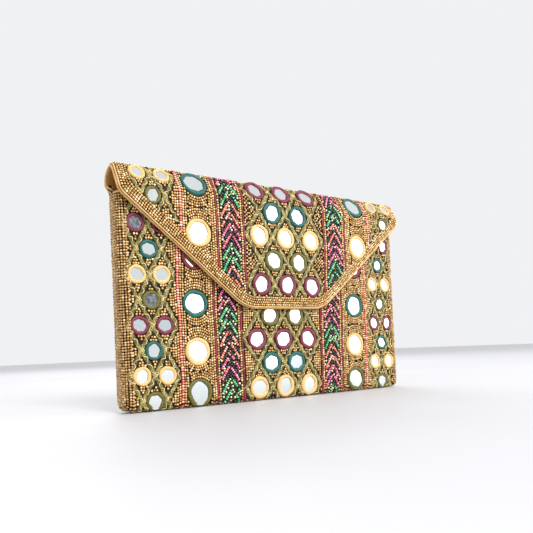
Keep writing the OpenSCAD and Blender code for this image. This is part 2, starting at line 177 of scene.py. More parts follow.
def cloth_point(x, s):
    """Place on the plain outer cloth face; x is measured across the cloth and s along it."""
    y, z = np.moveaxis(path_at(s), -1, 0)
    y = y - np.where(s < SEG[1, 0], bulge(x, s), 0)
    side, x = np.sign(x), np.abs(x)
    wrap = smooth((s - WRAP[0]) / (WRAP[1] - WRAP[0]))
    phi = np.clip((x - EDGE_X) / SIDE_R, 0, math.pi / 2)
    wall = np.clip((x - EDGE_X - SIDE_R * math.pi / 2) / WALL_L, 0, 1)
    thick = HALF_T - SIDE_R * (1 - np.cos(phi)) - (HALF_T - SIDE_R) * wall
    wx = np.minimum(x, EDGE_X) + SIDE_R * np.sin(phi)
    # The pouch is thinner towards its sides, and most so near its mouth
    slim = 1 - (0.12 + 0.2 * smooth(z / 130)) * smooth((wx - 88) / 48) * np.where(y < 0, 1.0, 0.25)
    wy = SEAM_Y * wall + slim * y * thick / HALF_T
    over = np.clip(wx - (SEAM_HALF - CORNER_R), 0, CORNER_R * 0.96)
    wz = z + (CORNER_R - np.sqrt(CORNER_R**2 - over**2)) * np.clip(1 - z / CORNER_RISE, 0, 1)
    return np.stack([side * (x + wrap * (wx - x)), y + wrap * (wy - y), z + wrap * (wz - z)], -1)


def ripple(x, s):
    """Slow hand-made unevenness of the stuffed cloth, always outward."""
    wave = np.sin(x / 17.0 + 1.3 * np.sin(s / 29.0)) * np.sin(s / 21.0 + 0.7) + np.sin(x / 41.0 - s / 33.0)
    edge = smooth((136 - np.abs(x)) / 20)
    base = smooth((np.abs(s - (S_BACK + S_FRONT) / 2) - 12) / 12)
    return 0.14 * (wave + 2) * edge * base


def unit(v):
    return v / np.maximum(np.linalg.norm(v, axis=-1, keepdims=True), 1e-9)


def surface(x, s, h=0.0, rippled=True):
    """Place of points raised h above the cloth, and the directions across, along and out of it there."""
    x, s = np.broadcast_arrays(np.asarray(x, float), np.asarray(s, float))
    e = 0.05
    across = unit(cloth_point(x + e, s) - cloth_point(x - e, s))
    along = cloth_point(x, s + e) - cloth_point(x, s - e)
    out = unit(np.cross(across, along))
    lift = h + (ripple(x, s) if rippled else 0)
    place = cloth_point(x, s) + out * np.asarray(lift + 0 * x)[..., None]
    return place, across, np.cross(out, across), out


# ---------------------------------------------------------------- sections that bend with the fold
S_CUT = ((SEG[2, 0] + SEG[3, 0]) / 2, (SEG[4, 0] + SEG[5, 0]) / 2, SEG[6, 0] + 1.5)
SECTIONS = ("flap", "fold_front", "fold_back", "pouch")


def section_of(s):
    return np.searchsorted(S_CUT, s, side="right")


RIGID_KINDS = ("mirrors", "rings_maroon", "rings_teal", "rings_cream", "rings_olive")


def bind(obj, kind, section):
    """Rides a piece on its body, or bakes its place into its points and leaves it unattached."""
    if section == "pouch":
        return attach(obj, "purse_body")
    if kind in RIGID_KINDS:
        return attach(obj, section)
    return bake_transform(obj)



# ---------------------------------------------------------------- mesh batches
MAX_TRIANGLES = 180000
NO_TRIS = np.zeros((0, 3), int)
RIM_UV = 0.01 * np.array([[0, 0], [1, 0], [1, 1], [0, 1]])
batches = {}


def emit(kind, section, verts, quads, quad_uv, tris=NO_TRIS, tri_uv=0.0, tone=0.5, shapes=1):
    """Adds closed shapes to the pieces of a kind and section. Equal shapes get a UV tile each."""
    number = np.arange(shapes)
    batches.setdefault((kind, section), []).append({
        "verts": verts,
        "quads": quads,
        "quad_uv": quad_uv,
        "quad_tile": np.repeat(number, len(quads) // shapes),
        "tris": tris,
        "tri_uv": np.broadcast_to(tri_uv, (len(tris), 3, 2)),
        "tri_tile": np.repeat(number, len(tris) // shapes),
        "tone": np.broadcast_to(tone, (len(verts),)),
        "shapes": shapes,
    })


def grid_quads(nu, nv, close_u, close_v):
    """Quads of a grid of nu by nv points, with their places in a unit square."""
    mu, mv = (nu if close_u else nu - 1), (nv if close_v else nv - 1)
    i, j = (v.ravel() for v in np.meshgrid(np.arange(mu), np.arange(mv), indexing="ij"))
    i2, j2 = (i + 1) % nu, (j + 1) % nv
    quads = np.stack([i * nv + j, i2 * nv + j, i2 * nv + j2, i * nv + j2], 1)
    corners = ((i, j), (i + 1, j), (i + 1, j + 1), (i, j + 1))
    return quads, np.stack([np.stack([a / mu, b / mv], -1) for a, b in corners], 1)


def tube_faces(rings, sides):
    """Faces of a closed tube of point rings: quads, their UV places and the triangles of both ends."""
    quads, uv = grid_quads(rings, sides, False, True)
    k = np.arange(1, sides - 1)
    end = np.stack([np.zeros_like(k), k, k + 1], 1)
    return quads[:, ::-1], uv[:, ::-1], np.concatenate([end, end[:, ::-1] + (rings - 1) * sides])


def calm_place(x, s, h):
    """Place at a height above the cloth without its ripples."""
    return surface(x, s, h, rippled=False)[0]


def slab(kind, section, x, s, top, bottom, inner=None):
    """A closed sheet between two heights above a grid of cloth places, or above an inner shape."""
    nu, nv = x.shape
    n = nu * nv
    upper = inner(x, s, top) if inner else surface(x, s, top)[0]
    lower = (inner or calm_place)(x, s, bottom)
    quads, uv = grid_quads(nu, nv, False, False)
    rim = np.concatenate([
        np.arange(nu) * nv,
        (nu - 1) * nv + np.arange(1, nv),
        np.arange(nu - 2, -1, -1) * nv + nv - 1,
        np.arange(nv - 2, 0, -1),
    ])
    following = np.roll(rim, -1)
    rim_quads = np.stack([rim, rim + n, following + n, following], 1)
    half = np.array([0.5, 1.0])
    emit(
        kind,
        section,
        np.concatenate([upper.reshape(-1, 3), lower.reshape(-1, 3)]),
        np.concatenate([quads, quads[:, ::-1] + n, rim_quads]),
        np.concatenate([uv * half, uv[:, ::-1] * half + (0.5, 0), np.tile(RIM_UV, (len(rim), 1, 1))]),
    )


def sweep(kind, section, place, out, wide, tall, sides, tone):
    """A closed cord through given places, with its oval section set up along out."""
    n = len(place)
    run = unit(np.gradient(place, axis=0))
    side = unit(np.cross(run, out))
    up = np.cross(side, run)
    a = np.arange(sides) / sides * 2 * math.pi
    wide, tall = (np.broadcast_to(v, n)[:, None] for v in (wide, tall))
    ring_at = side[:, None] * (np.cos(a) * wide)[..., None] + up[:, None] * (np.sin(a) * tall)[..., None]
    quads, uv, tris = tube_faces(n, sides)
    tone = np.repeat(np.broadcast_to(tone, n), sides)
    emit(kind, section, (place[:, None] + ring_at).reshape(-1, 3), quads, uv, tris, tone=tone)


def lay(kind, section, run, sides):
    """The stretch of a cord that lies on one section."""
    run = np.array(run)
    if len(run) > 2:
        step = np.linalg.norm(np.diff(run[:, :2], axis=0), axis=1)
        run = run[np.concatenate([[True], step > 1e-3])]
    if len(run) > 1:
        x, s, h, wide, tall, tone = run.T
        place, across, along, out = surface(x, s, h)
        sweep(kind, SECTIONS[section], place, out, wide, tall, sides, tone)


def tube(kind, x, s, h, wide, tall, sides=8, tone=0.5):
    """A cord along cloth places, cut where one section ends and the next begins."""
    values = (x, s, h, wide, tall, tone)
    rows = np.stack([np.broadcast_to(np.asarray(v, float), np.shape(x)) for v in values], 1)
    sec = section_of(rows[:, 1])
    run = []
    for k, row in enumerate(rows):
        run.append(row)
        if k + 1 == len(rows):
            lay(kind, sec[k], run, sides)
        elif sec[k] != sec[k + 1]:
            cut = S_CUT[min(sec[k], sec[k + 1])]
            t = (cut - row[1]) / (rows[k + 1, 1] - row[1])
            edge = row + t * (rows[k + 1] - row)
            if t > 1e-3:
                run.append(edge)
            lay(kind, sec[k], run, sides)
            run = [edge]


# Barrel bead: axis along the first coordinate, length and diameter 1, as (place on the axis, radius)
BEAD_SIDES = 8
BEAD_RINGS = ((-0.5, 0.3), (-0.24, 0.49), (0.24, 0.49), (0.5, 0.3))


def bead_template():
    """Points, faces and UV places of the bead, and its painted shading: painted shade makes its ends and
    underside darker and a painted highlight makes its top lighter.
    """
    a = (np.arange(BEAD_SIDES) + 0.5) / BEAD_SIDES * 2 * math.pi
    verts = np.array([(t, r * math.cos(b), r * math.sin(b)) for t, r in BEAD_RINGS for b in a])
    quads, uv, tris = tube_faces(len(BEAD_RINGS), BEAD_SIDES)
    # Painted shade at the ends and underside, painted highlight towards the top
    shade = np.where(np.abs(verts[:, 0]) > 0.4, -0.42, 0.06) + 0.28 * verts[:, 2] - 0.12 * (verts[:, 2] < 0)
    return verts, quads, uv * 0.8 + 0.1, tris, shade


BEAD = bead_template()
beads = {}


def place_beads(kind, section, rows):
    """One batch of beads from their places, directions, sizes and tones."""
    verts0, quads0, uv0, tris0, shade0 = BEAD
    x, s, ax, al, length, dia, lift, tone = rows.T
    place, across, along, out = surface(x, s, lift)
    axis = unit(across * ax[:, None] + along * al[:, None])
    turned = np.stack([axis, np.cross(axis, out), out], 1)
    verts = place[:, None] + (verts0 * np.stack([length, dia, dia], 1)[:, None]) @ turned
    n = len(rows)
    first = (np.arange(n) * len(verts0))[:, None, None]
    quads, tris = (quads0 + first).reshape(-1, 4), (tris0 + first).reshape(-1, 3)
    # Each bead's tone with the template's painted shade and highlight added
    tone = (tone[:, None] + shade0).ravel()
    emit(kind, section, verts.reshape(-1, 3), quads, np.tile(uv0, (n, 1, 1)), tris, 0.5, tone, n)


def flush_beads():
    """Turns the gathered bead places into batches, by kind and section."""
    limit = MAX_TRIANGLES // (2 * len(BEAD[1]) + len(BEAD[3]))
    for kind, rows in beads.items():
        rows = np.array(rows)
        sec = section_of(rows[:, 1])
        for k, section in enumerate(SECTIONS):
            some = rows[sec == k]
            for at in range(0, len(some), limit):
                place_beads(kind, section, some[at : at + limit])


# ---------------------------------------------------------------- panels: where the embroidery goes
CELL = 0.3
EDGE_CELLS = 8
X_REACH = 152.0
P_ROOM = 6.0
TEST_R, MARK_R = 0.72, 0.95
PITCH, ROW = 1.95, 1.92  # seed beads along a row, and from row to row
SEED_DIA, SEED_LENGTH = 1.86, 1.72
LOOSE_DIA, LOOSE_LENGTH, LOOSE_STEP = 1.75, 1.6, 1.5


def disc_cells(r):
    n = int(r / CELL) + 1
    i, j = np.meshgrid(np.arange(-n, n + 1), np.arange(-n, n + 1), indexing="ij")
    inside = (i * CELL) ** 2 + (j * CELL) ** 2 <= r * r
    return i[inside], j[inside]


TEST, MARK = disc_cells(TEST_R), disc_cells(MARK_R)


def lengths(xs, ps):
    """Length from the start of a line to each of its points."""
    return np.concatenate([[0], np.cumsum(np.hypot(np.diff(xs), np.diff(ps)))])


class Panel:
    """One face of the purse. Pattern places are (x, p), where p runs up the face."""

    def __init__(self, s0, direction, p_low, p_high, inside=None, shift=0.0, wander=1.0):
        self.s0, self.direction, self.p_low, self.p_high = s0, direction, p_low, p_high
        self.inside = inside or (lambda x, p: True)
        self.shift, self.wander = shift, wander
        size = (2 * X_REACH, p_high - p_low + 2 * P_ROOM)
        self.full = np.zeros([int(v / CELL) + 2 * EDGE_CELLS + 4 for v in size], bool)

    def cell(self, x, p):
        return int((x + X_REACH) / CELL) + EDGE_CELLS, int((p - self.p_low + P_ROOM) / CELL) + EDGE_CELLS

    def block(self, x, p, r):
        """Keeps beads out of a disc."""
        i, j = self.cell(x, p)
        di, dj = disc_cells(r)
        ii, jj = i + di, j + dj
        ok = (ii >= 0) & (jj >= 0) & (ii < self.full.shape[0]) & (jj < self.full.shape[1])
        self.full[ii[ok], jj[ok]] = True

    def block_line(self, xs, ps, r):
        for x, p in zip(xs, ps):
            self.block(x, p, r)

    def within(self, x, p):
        return self.p_low <= p <= self.p_high and self.inside(x, p)

    def is_free(self, x, p):
        if not (abs(x) < X_REACH - 2 and self.within(x, p)):
            return False
        i, j = self.cell(x, p)
        return not self.full[i + TEST[0], j + TEST[1]].any()

    def warp(self, x, p):
        """Uneven hand placing, so that lines wander a little and stay clear of each other."""
        x, p = np.asarray(x, float), np.asarray(p, float)
        hold = self.wander * smooth((133 - np.abs(x)) / 10)
        dx = 0.5 * np.sin(p / 23.0 + x / 45.0 + self.s0) + 0.25 * np.sin(p / 7.3 + x / 13.0)
        dp = 0.4 * np.sin(x / 19.0 + p / 37.0 + self.s0) * smooth((self.p_high - p) / 8)
        return x + hold * dx + self.shift, self.s0 + self.direction * (p + hold * dp)

    def bead(self, kind, x, p, ax, ap, length=SEED_LENGTH, dia=SEED_DIA, tone=None):
        """One bead threaded along (ax, ap), set down a little unevenly."""
        bead_x, bead_s = self.warp(x, p)
        j = rng.normal(0, 1, 6)
        n = math.hypot(ax, ap) or 1
        beads.setdefault(kind, []).append((
            bead_x + 0.07 * j[0],
            bead_s + 0.07 * j[1],
            ax / n + 0.09 * j[2],
            (ap / n + 0.09 * j[3]) * self.direction,
            length * (1 + 0.07 * j[4]),
            dia * (1 + 0.05 * j[2]),
            dia * 0.46 + 0.06 * j[3],
            np.clip(0.6 + 0.11 * j[5], 0.1, 1) if tone is None else tone,
        ))
        i, j = self.cell(x, p)
        self.full[i + MARK[0], j + MARK[1]] = True

    def string(self, kind, xs, ps, pitch=PITCH, dia=SEED_DIA, force=False):
        """Beads threaded along a line where there is room or, with force, wherever the panel reaches."""
        xs, ps = np.asarray(xs, float), np.asarray(ps, float)
        run = lengths(xs, ps)
        if run[-1] < 0.5:
            return
        at = np.arange(rng.uniform(0.2, 0.8) * pitch, run[-1], pitch)
        e = 0.3
        dx, dp = (np.interp(at + e, run, v) - np.interp(at - e, run, v) for v in (xs, ps))
        for x, p, ax, ap in zip(np.interp(at, run, xs), np.interp(at, run, ps), dx, dp):
            if (force and self.within(x, p)) or self.is_free(x, p):
                self.bead(kind, x, p, ax, ap, pitch * 0.88, dia)

    def fill(self, x0, x1, pick):
        """Loose beads in the room that is left between x0 and x1; pick names each bead's kind and tone."""
        for x in np.arange(x0, x1, LOOSE_STEP):
            for p in np.arange(self.p_low, self.p_high, LOOSE_STEP):
                q, r = x + rng.uniform(-0.3, 0.3), p + rng.uniform(-0.3, 0.3)
                if self.is_free(q, r):
                    a = rng.uniform(0, math.pi)
                    kind, tone = pick()
                    self.bead(kind, q, r, math.cos(a), math.sin(a), LOOSE_LENGTH, LOOSE_DIA, tone)


# ---------------------------------------------------------------- layout of the embroidery
LARGE_R, MIDDLE_R, SIDE_RING_R, FLAP_SIDE_RING_R = 10.6, 8.9, 6.9, 6.4
MIDDLE_HALF, MIDDLE_PITCH, MIDDLE_Z0 = 13.2, 19.5, 10.6
SIDE_HALF, SIDE_PITCH, SIDE_Z0, SIDE_X = 9.5, 18.2, 7.4, 117.4
CORD_XS = (41.5, 66.0)
ARROW_X = 53.8
LARGE_X = 82.0
CORAL_X, CORAL_DIA = 96.2, 2.3
COLUMN_ROWS = (43.5, 64.1, 67.95, 69.9, 71.85, 92.0, 94.0, 98.4)
LARGE_Z = (11.4, 42, 77.5, 113, 148)
MIDDLE_COLOURS = ("cream", "teal", "maroon", "olive")
SIDE_COLOURS = ("olive", "cream", "teal", "maroon")
LARGE_COLOURS = ("olive", "cream", "teal", "maroon", "olive")
FLAP_COLOURS = ("maroon", "olive", "cream", "teal")
FLAP_ROW_Z = 93.0
FLAP_LARGE_Z = 130.0
FLAP_SIDE_Z = 154.0
FOLD_RING_S = 170.4  # the fold's middle mirrors; its other mirrors stand a little lower or higher
FOLD_LARGE_S = FOLD_RING_S - 3
FOLD_SIDE_S = FOLD_RING_S + 1
SIDE_TOP_RINGS = ((0, FLAP_SIDE_Z, "olive"), (-1, FOLD_SIDE_S, "cream"), (1, FOLD_SIDE_S, "cream"))
RING_GAP = 1.05  # from a ring to the first beads round it
SNAP_R, SNAP_CLEAR = 8.2, 15.0
SNAP_Z = (low("snap_socket")[2] + high("snap_socket")[2]) / 2

# Reach of each field of gold beads across the purse
MIDDLE_FIELD = (-1, 40.6)
LARGE_FIELD = (70.4, 93.6)
SIDE_FIELD = (98.6, 133)
FLAP_SIDE_FIELD = (98.6, 131)
LATTICE_ROWS = (29.0, 40.4)
SIDE_ROWS = (100.3, 132.6)
EDGE_ROWS = np.arange(133.9, SEAM_X - 1.2, 1.78)
OVER_FOLD = 4  # so many of the back's edge rows run on over the fold

FLAP_SHIFT = 2.0  # the flap's pattern stands a little to the right of the front's
FLAP_BOTTOM = low("flap_cloth")[2] - 3.4
FLAP_HALF = FOLD_HALF + 2.0
FLAP_TIP = 155.5
FLAP_TIP_R = 5.0
FLAP_BOTTOM_HALF = 41.0
FLAP_CORNER_R = 32.0
FLAP_SLOPE = (FLAP_TIP - FLAP_BOTTOM) / (FLAP_HALF - FLAP_BOTTOM_HALF)
FLAP_ANGLE = math.atan(FLAP_SLOPE)
CLOTH_INSET, LINING_INSET = 0.7, 1.0
BORDER_INSETS = (2.9, 4.8, 6.7, 8.6)
BORDER = 9.6

MIDDLE = (0.0, MIDDLE_HALF, MIDDLE_Z0, MIDDLE_PITCH)
FLAP_MIDDLE = (0.0, MIDDLE_HALF, FLAP_ROW_Z, MIDDLE_PITCH)


def side_lattice(side):
    return (side * SIDE_X, SIDE_HALF, SIDE_Z0, SIDE_PITCH)


def flap_edge(inset):
    """Right half of the flap's outline, moved in by inset, from its lower middle to the fold's back."""
    half, bottom, r = FLAP_HALF - inset, FLAP_BOTTOM + inset, FLAP_CORNER_R - inset
    a = np.linspace(0, FLAP_ANGLE, 9)
    round_x = FLAP_BOTTOM_HALF - (inset + r) * math.tan(FLAP_ANGLE / 2) + r * np.sin(a)
    tip = FLAP_TIP + inset * (1 / math.cos(FLAP_ANGLE) - FLAP_SLOPE)
    # The outer corner is rounded by a curve from the slanting edge to the upright one
    run = np.array([half - FLAP_TIP_R * math.cos(FLAP_ANGLE), tip - FLAP_TIP_R * math.sin(FLAP_ANGLE)])
    corner, end = np.array([half, tip]), np.array([half, tip + FLAP_TIP_R])
    t = np.linspace(0, 1, 7)[:, None]
    bow = (1 - t) ** 2 * run + 2 * t * (1 - t) * corner + t**2 * end
    x = np.concatenate([[0], round_x, bow[:, 0], [half]])
    z = np.concatenate([[bottom], bottom + r * (1 - np.cos(a)), bow[:, 1], [S_CUT[2]]])
    return x, z


EDGE_LINES = {inset: flap_edge(inset) for inset in (CLOTH_INSET, LINING_INSET, BORDER)}


def flap_half(s, inset):
    """Half the flap's width at length s along the cloth."""
    x, z = EDGE_LINES[inset]
    return np.interp(s, z, x, left=x[1] * 0.999)


def in_flap(x, p):
    return p > FLAP_BOTTOM + BORDER and abs(x + FLAP_SHIFT) < flap_half(p, BORDER)


PANEL_LOW = 0.4
UNDER_LOW = -30.0
front = Panel(S_FRONT, 1, PANEL_LOW, MOUTH_Z - 0.9)
back = Panel(S_BACK, -1, PANEL_LOW, S_BACK - S_CUT[2] - 0.4)
under = Panel(S_FRONT, 1, UNDER_LOW, MOUTH_Z - 0.9)
top = Panel(0.0, 1, 83.0, S_CUT[2] - 0.4, in_flap, FLAP_SHIFT)
border = Panel(0.0, 1, 60, S_CUT[2] - 0.3, wander=0.0)


def lattice(x0, half, z0, pitch, rows, n_even):
    """Mirror places of a lattice, as (x, p, row): n_even in its even rows and two in the others."""
    places = []
    for row in range(rows):
        n = n_even if row % 2 == 0 else 2
        places += [(x0 + (2 * k - n + 1) * half, z0 + row * pitch, row) for k in range(n)]
    return places


def zigzags(panel, x0, half, z0, pitch, rows, lines, clear):
    """Braids that zigzag round one mirror in each diamond, with lines of them on each side of x0."""
    turns = np.arange(-1, rows + 2)
    pad = 4  # the turns are rounded over this many points to each side
    for j in range(-lines, lines):
        turn_x, turn_p = x0 + (j + (turns + j + 1) % 2) * half, z0 + turns * pitch
        length = lengths(turn_x, turn_p)
        at = np.arange(0, length[-1], 0.55)
        x, p = np.interp(at, length, turn_x), np.interp(at, length, turn_p)
        x = np.convolve(np.pad(x, pad, mode="edge"), np.ones(2 * pad + 1) / (2 * pad + 1), mode="valid")
        keep = (p > panel.p_low - 0.2) & (p < panel.p_high)
        keep &= np.array([panel.inside(a, b) for a, b in zip(x, p)])
        runs = np.split(np.arange(len(x)), np.where(np.diff(keep.astype(int)) != 0)[0] + 1)
        for r in runs:
            if keep[r[0]] and len(r) > 6:
                braid(panel, x[r], p[r], at[r], clear)


CURL, WAVE = 1.75, 6.8  # lengths of one curl of the light thread and of one wave of the gold one


def braid(panel, x, p, at, clear):
    """A flat band with a curled light thread over it and a pale gold thread that waves along it."""
    dx, dp = np.gradient(x), np.gradient(p)
    n = np.hypot(dx, dp)
    ux, up = dp / n, -dx / n
    phase = rng.uniform(0, 6.28)

    def strayed(t, stray):
        """Cloth places at the lengths t, a given way off the band's middle."""
        px, pp, qx, qp = (np.interp(t, at, v) for v in (x, p, ux, up))
        return panel.warp(px + qx * stray, pp + qp * stray)

    width = clear * (0.97 + 0.12 * np.sin(at / 0.55 + phase) + 0.07 * np.sin(at * 1.37 + phase))
    tube("braid", *panel.warp(x, p), 0.25, width, 0.75, 8, 0.45 + 0.3 * np.sin(at / 2.3 + phase))
    t = np.arange(at[0], at[-1], 0.36)
    curl = (clear - 0.1) * np.sin(t * 2 * math.pi / CURL + phase) + 0.25 * np.sin(t * 1.1 + 2 * phase)
    height = 0.98 - 0.22 * (curl / clear) ** 2
    tube("braid_thread", *strayed(t, curl), height, 0.25, 0.22, 4, 0.5 + 0.4 * np.sin(t / 3.1 + phase))
    t = np.arange(at[0], at[-1], 0.6)
    wave = 1.25 * np.sin(t * 2 * math.pi / WAVE + phase) + 0.35 * np.sin(t * 2 * math.pi / 2.9)
    tube("gold_thread", *strayed(t, wave), 1.22, 0.32, 0.3, 5, 0.45 + 0.4 * np.sin(t * 2 * math.pi / WAVE))
    panel.block_line(x, p, clear + 0.1)


PAINTED_DARK_REFLECTION_ROWS = (4, 7)  # rows of the left side lattice whose mirrors are painted dark: a painted reflection of something dark
MIRROR_TOP, MIRROR_BOTTOM = 0.95, 0.3
MIRROR_POINTS = 44
# Radius that a ring is larger than, its thread turns, and its band's width as a share of its radius
RING_STYLES = ((10, 42, 0.29), (8, 36, 0.34), (0, 30, 0.36))
# Section of the band, as (share of the width from the inner edge, height)
RING_PROFILE = (
    (1.0, 0.0), (1.02, 0.75), (0.88, 1.55), (0.62, 2.0), (0.34, 1.95),
    (0.1, 1.5), (0.0, 1.0), (0.12, 0.62), (0.6, 0.1),
)


def spot(x, s):
    """Place and the directions across, along and out at one point of the cloth."""
    return [v[0] for v in surface(np.array([x]), np.array([s]))]


def ring(panel, x0, p0, radius, colour, seed):
    """A raised band of thread round a mirror, with an uneven inner opening, and the mirror under it."""
    local = np.random.default_rng(seed)
    turns, band = next(style[1:] for style in RING_STYLES if radius > style[0])
    width = band * radius
    nu = 4 * turns
    t = np.arange(nu) / nu * 2 * math.pi
    corners = local.integers(5, 8)
    a0, a1 = local.uniform(0, 6.28, 2)
    facet = np.abs(((t * corners / (2 * math.pi) + a0) % 1) - 0.5) * 2
    inner = radius - width + 0.21 * width * (facet - 0.5) + 0.05 * radius * np.sin(2 * t + a1)
    outer = radius * (1 + 0.02 * np.sin(3 * t + a0) + 0.012 * np.sin(7 * t + a1))
    share, height = np.array(RING_PROFILE).T
    ridge = np.cos(t[:, None] * turns + 3.3 * share)
    rho = inner[:, None] + (outer - inner)[:, None] * share + 0.12 * ridge * (share < 0.2)
    height = height + 0.07 * ridge * (height > 0.7)
    dx, ds = rho * np.cos(t)[:, None], rho * np.sin(t)[:, None] * panel.direction
    x, s = panel.warp(x0, p0)
    section = "flap" if panel is top else "pouch"
    if panel is top and p0 > FLAP_TIP:
        # On the fold a ring stays flat, and its base reaches down to the cloth that bends away
        section = "fold_front"
        height = np.where(height < 0.7, height - 1.6, height)
        place, across, along, out = spot(x, s)
        verts = place + dx[..., None] * across + ds[..., None] * along + height[..., None] * out
    else:
        verts = surface(x + dx, s + ds, height * 0.98)[0]
    quads, uv = grid_quads(nu, len(RING_PROFILE), True, True)
    if panel.direction > 0:
        quads, uv = quads[:, ::-1], uv[:, ::-1]
    # Each thread turn is painted lighter along its ridge and darker between turns: painted highlight and
    # shade, with a small random tone
    tone = 0.5 + 0.24 * ridge + local.normal(0, 0.06, rho.shape)
    emit("rings_" + colour, section, verts.reshape(-1, 3), quads, uv, tone=tone.reshape(-1))
    painted_dark_reflection = panel is not top and x0 < -100 and round((p0 - SIDE_Z0) / SIDE_PITCH) in PAINTED_DARK_REFLECTION_ROWS
    mirror(section, x, s, radius - 0.35 * width, painted_dark_reflection, local)
    panel.block(x0, p0, radius + 0.15)
    return (x0, p0, radius)


def mirror(section, x, s, radius, painted_dark_reflection, local):
    """A flat round mirror, a little tilted, under its thread ring."""
    place, across, along, out = spot(x, s)
    tilt = local.normal(0, 0.022, 2)
    n = MIRROR_POINTS
    t = np.arange(n)[:, None] / n * 2 * math.pi
    flat = radius * (np.cos(t) * unit(across + tilt[0] * out) + np.sin(t) * unit(along + tilt[1] * out))
    upper, lower = place + out * MIRROR_TOP, place + out * MIRROR_BOTTOM
    k = np.arange(n)
    k2 = (k + 1) % n
    discs = ((k, k2, np.full(n, 2 * n)), (k2 + n, k + n, np.full(n, 2 * n + 1)))
    rim = 0.5 + 0.45 * np.concatenate([np.cos(t), np.sin(t)], 1)
    middle = np.full((n, 2), 0.5)
    emit(
        "mirrors",
        section,
        np.concatenate([upper + flat, lower + flat, [upper, lower]]),
        np.stack([k, k + n, k2 + n, k2], 1),
        np.stack([rim, rim, rim[k2], rim[k2]], 1),
        np.concatenate([np.stack(disc, 1) for disc in discs]),
        np.concatenate([np.stack([rim, rim[k2], middle], 1), np.stack([rim[k2], rim, middle], 1)]),
        # Mirrors in the listed rows get a dark base colour, a painted dark reflection; the others a random
        # lighter one
        0.95 if painted_dark_reflection else local.uniform(0, 0.6),
    )


def cord(panel, x, p0, p1):
    """Maroon cord in bright and dark lengths, held by small gold stitches."""
    p = np.arange(p0, p1, 0.8)
    if len(p) < 3:
        return
    length = 15.0
    shift = rng.uniform(0, 2 * length)
    tone = np.where(((p + shift) // length) % 2 == 0, 0.64, 0.3)
    tone = np.convolve(np.pad(tone, 1, mode="edge"), np.ones(3) / 3, mode="valid")
    xs = np.full(len(p), x)
    wx, ws = panel.warp(xs, p)
    tube("cord", wx + 0.12 * np.sin(p / 3.1), ws, 0.72, 0.92, 0.86, 8, tone)
    panel.block_line(xs, p, 0.95)
    t = np.linspace(-1, 1, 9)
    for q in np.arange(p0 + (length - shift) % length, p1, length):
        height = 0.35 + 1.4 * np.sqrt(np.maximum(1 - t**4, 0))
        tube("gold_thread", *panel.warp(x + 1.25 * t, q + 0.5 * t), height, 0.22, 0.22, 5, 0.5)


def arcs(panel, stones, count, field):
    """Beads in rings round each mirror, each kept nearer its own mirror than any other."""
    centres = np.array(stones)
    for k in range(count):
        for x0, p0, r in centres:
            rho = r + RING_GAP + ROW * k
            n = int(2 * math.pi * rho / PITCH)
            for a in (np.arange(n) + rng.uniform(0, 1)) / n * 2 * math.pi:
                x, p = x0 + rho * math.cos(a), p0 + rho * math.sin(a)
                if field[0] < abs(x) < field[1]:
                    near = np.hypot(centres[:, 0] - x, centres[:, 1] - p) - centres[:, 2]
                    if near.min() >= rho - r - 0.25 and panel.is_free(x, p):
                        panel.bead("gold_beads", x, p, -math.sin(a), math.cos(a))


# Gold specks on the black ground, by their height over an arrow's apex and their place beside its middle
SPECKS = ((-1.2, 5.2), (-1.6, -5.2), (-4.6, 7.8), (-4.8, -7.8))
ARROW_RISE, ARROW_HALF, GROUND_HALF = 12.0, 8.2, 9.2
ARROW_PITCH, ARROW_DIA = 1.78, 2.15


def ground_bead():
    """Kind and tone of a bead of the black ground."""
    return ("gold_beads", 0.9) if rng.uniform() < 0.08 else ("black_beads", None)


def arrow_column(panel, side, apexes):
    """Arrow rows of coloured beads on a ground of black beads strewn with gold ones."""
    x0 = side * ARROW_X
    for apex, colour in apexes:
        lean = rng.normal(0, 0.25)
        rise = ARROW_RISE + rng.normal(0, 0.3)
        for arm in (-1, 1):
            t = np.linspace(0.0 if arm < 0 else 0.13, 1.0, 12)
            ps = apex - rise * t + 0.5 * np.sin(t * math.pi)
            panel.string(colour, x0 + lean + arm * (0.2 + ARROW_HALF * t), ps, ARROW_PITCH, ARROW_DIA)
    for apex, colour in apexes:
        for q, w in ((-3.6, 0), (-5.6, rng.choice([-1.2, 1.2])), *SPECKS):
            x, p = x0 + w + rng.normal(0, 0.3), apex + q + rng.normal(0, 0.3)
            if panel.is_free(x, p) and rng.uniform() < 0.5:
                panel.bead("gold_beads", x, p, rng.normal(), rng.normal(), 1.6, 1.85, 0.92)
    panel.fill(x0 - GROUND_HALF, x0 + GROUND_HALF, ground_bead)


def arrows(first, pitch, order, count):
    """Apexes from the top down, in pairs of one colour."""
    return [(first - k * pitch, order[(k // 2) % len(order)] + "_beads") for k in range(count)]


def rows_up(panel, xs):
    """Straight rows of gold beads up the panel, wherever there is room."""
    n = int((panel.p_high - panel.p_low) / 2) + 2
    for x in xs:
        panel.string("gold_beads", np.full(n, x), np.linspace(panel.p_low, panel.p_high, n))


def columns(panel, arrow_sets):
    """Cords, coral bead lines, gold rows and arrows that run up the panel."""
    for side in (-1, 1):
        for x in CORD_XS:
            p = [q for q in np.arange(panel.p_low, panel.p_high, 0.4) if panel.inside(side * x, q)]
            if len(p) > 3:
                cord(panel, side * x, p[0], p[-1])
        panel.string("coral_beads", [side * CORAL_X] * 2, [panel.p_low, panel.p_high], dia=CORAL_DIA)
    rows_up(panel, [side * x for side in (-1, 1) for x in COLUMN_ROWS])
    for side in (-1, 1):
        arrow_column(panel, side, arrow_sets[side])


def outside_lattice(x, p, x0, half, z0, pitch, reach, tip_even):
    """Distance from the zigzag that ends the lattice, in cells; above 0 is outside."""
    row = (p - z0) / pitch
    off = abs(row - 2 * round(row / 2))
    return abs((x - x0) / half) - (reach - (off if tip_even else 1 - off))


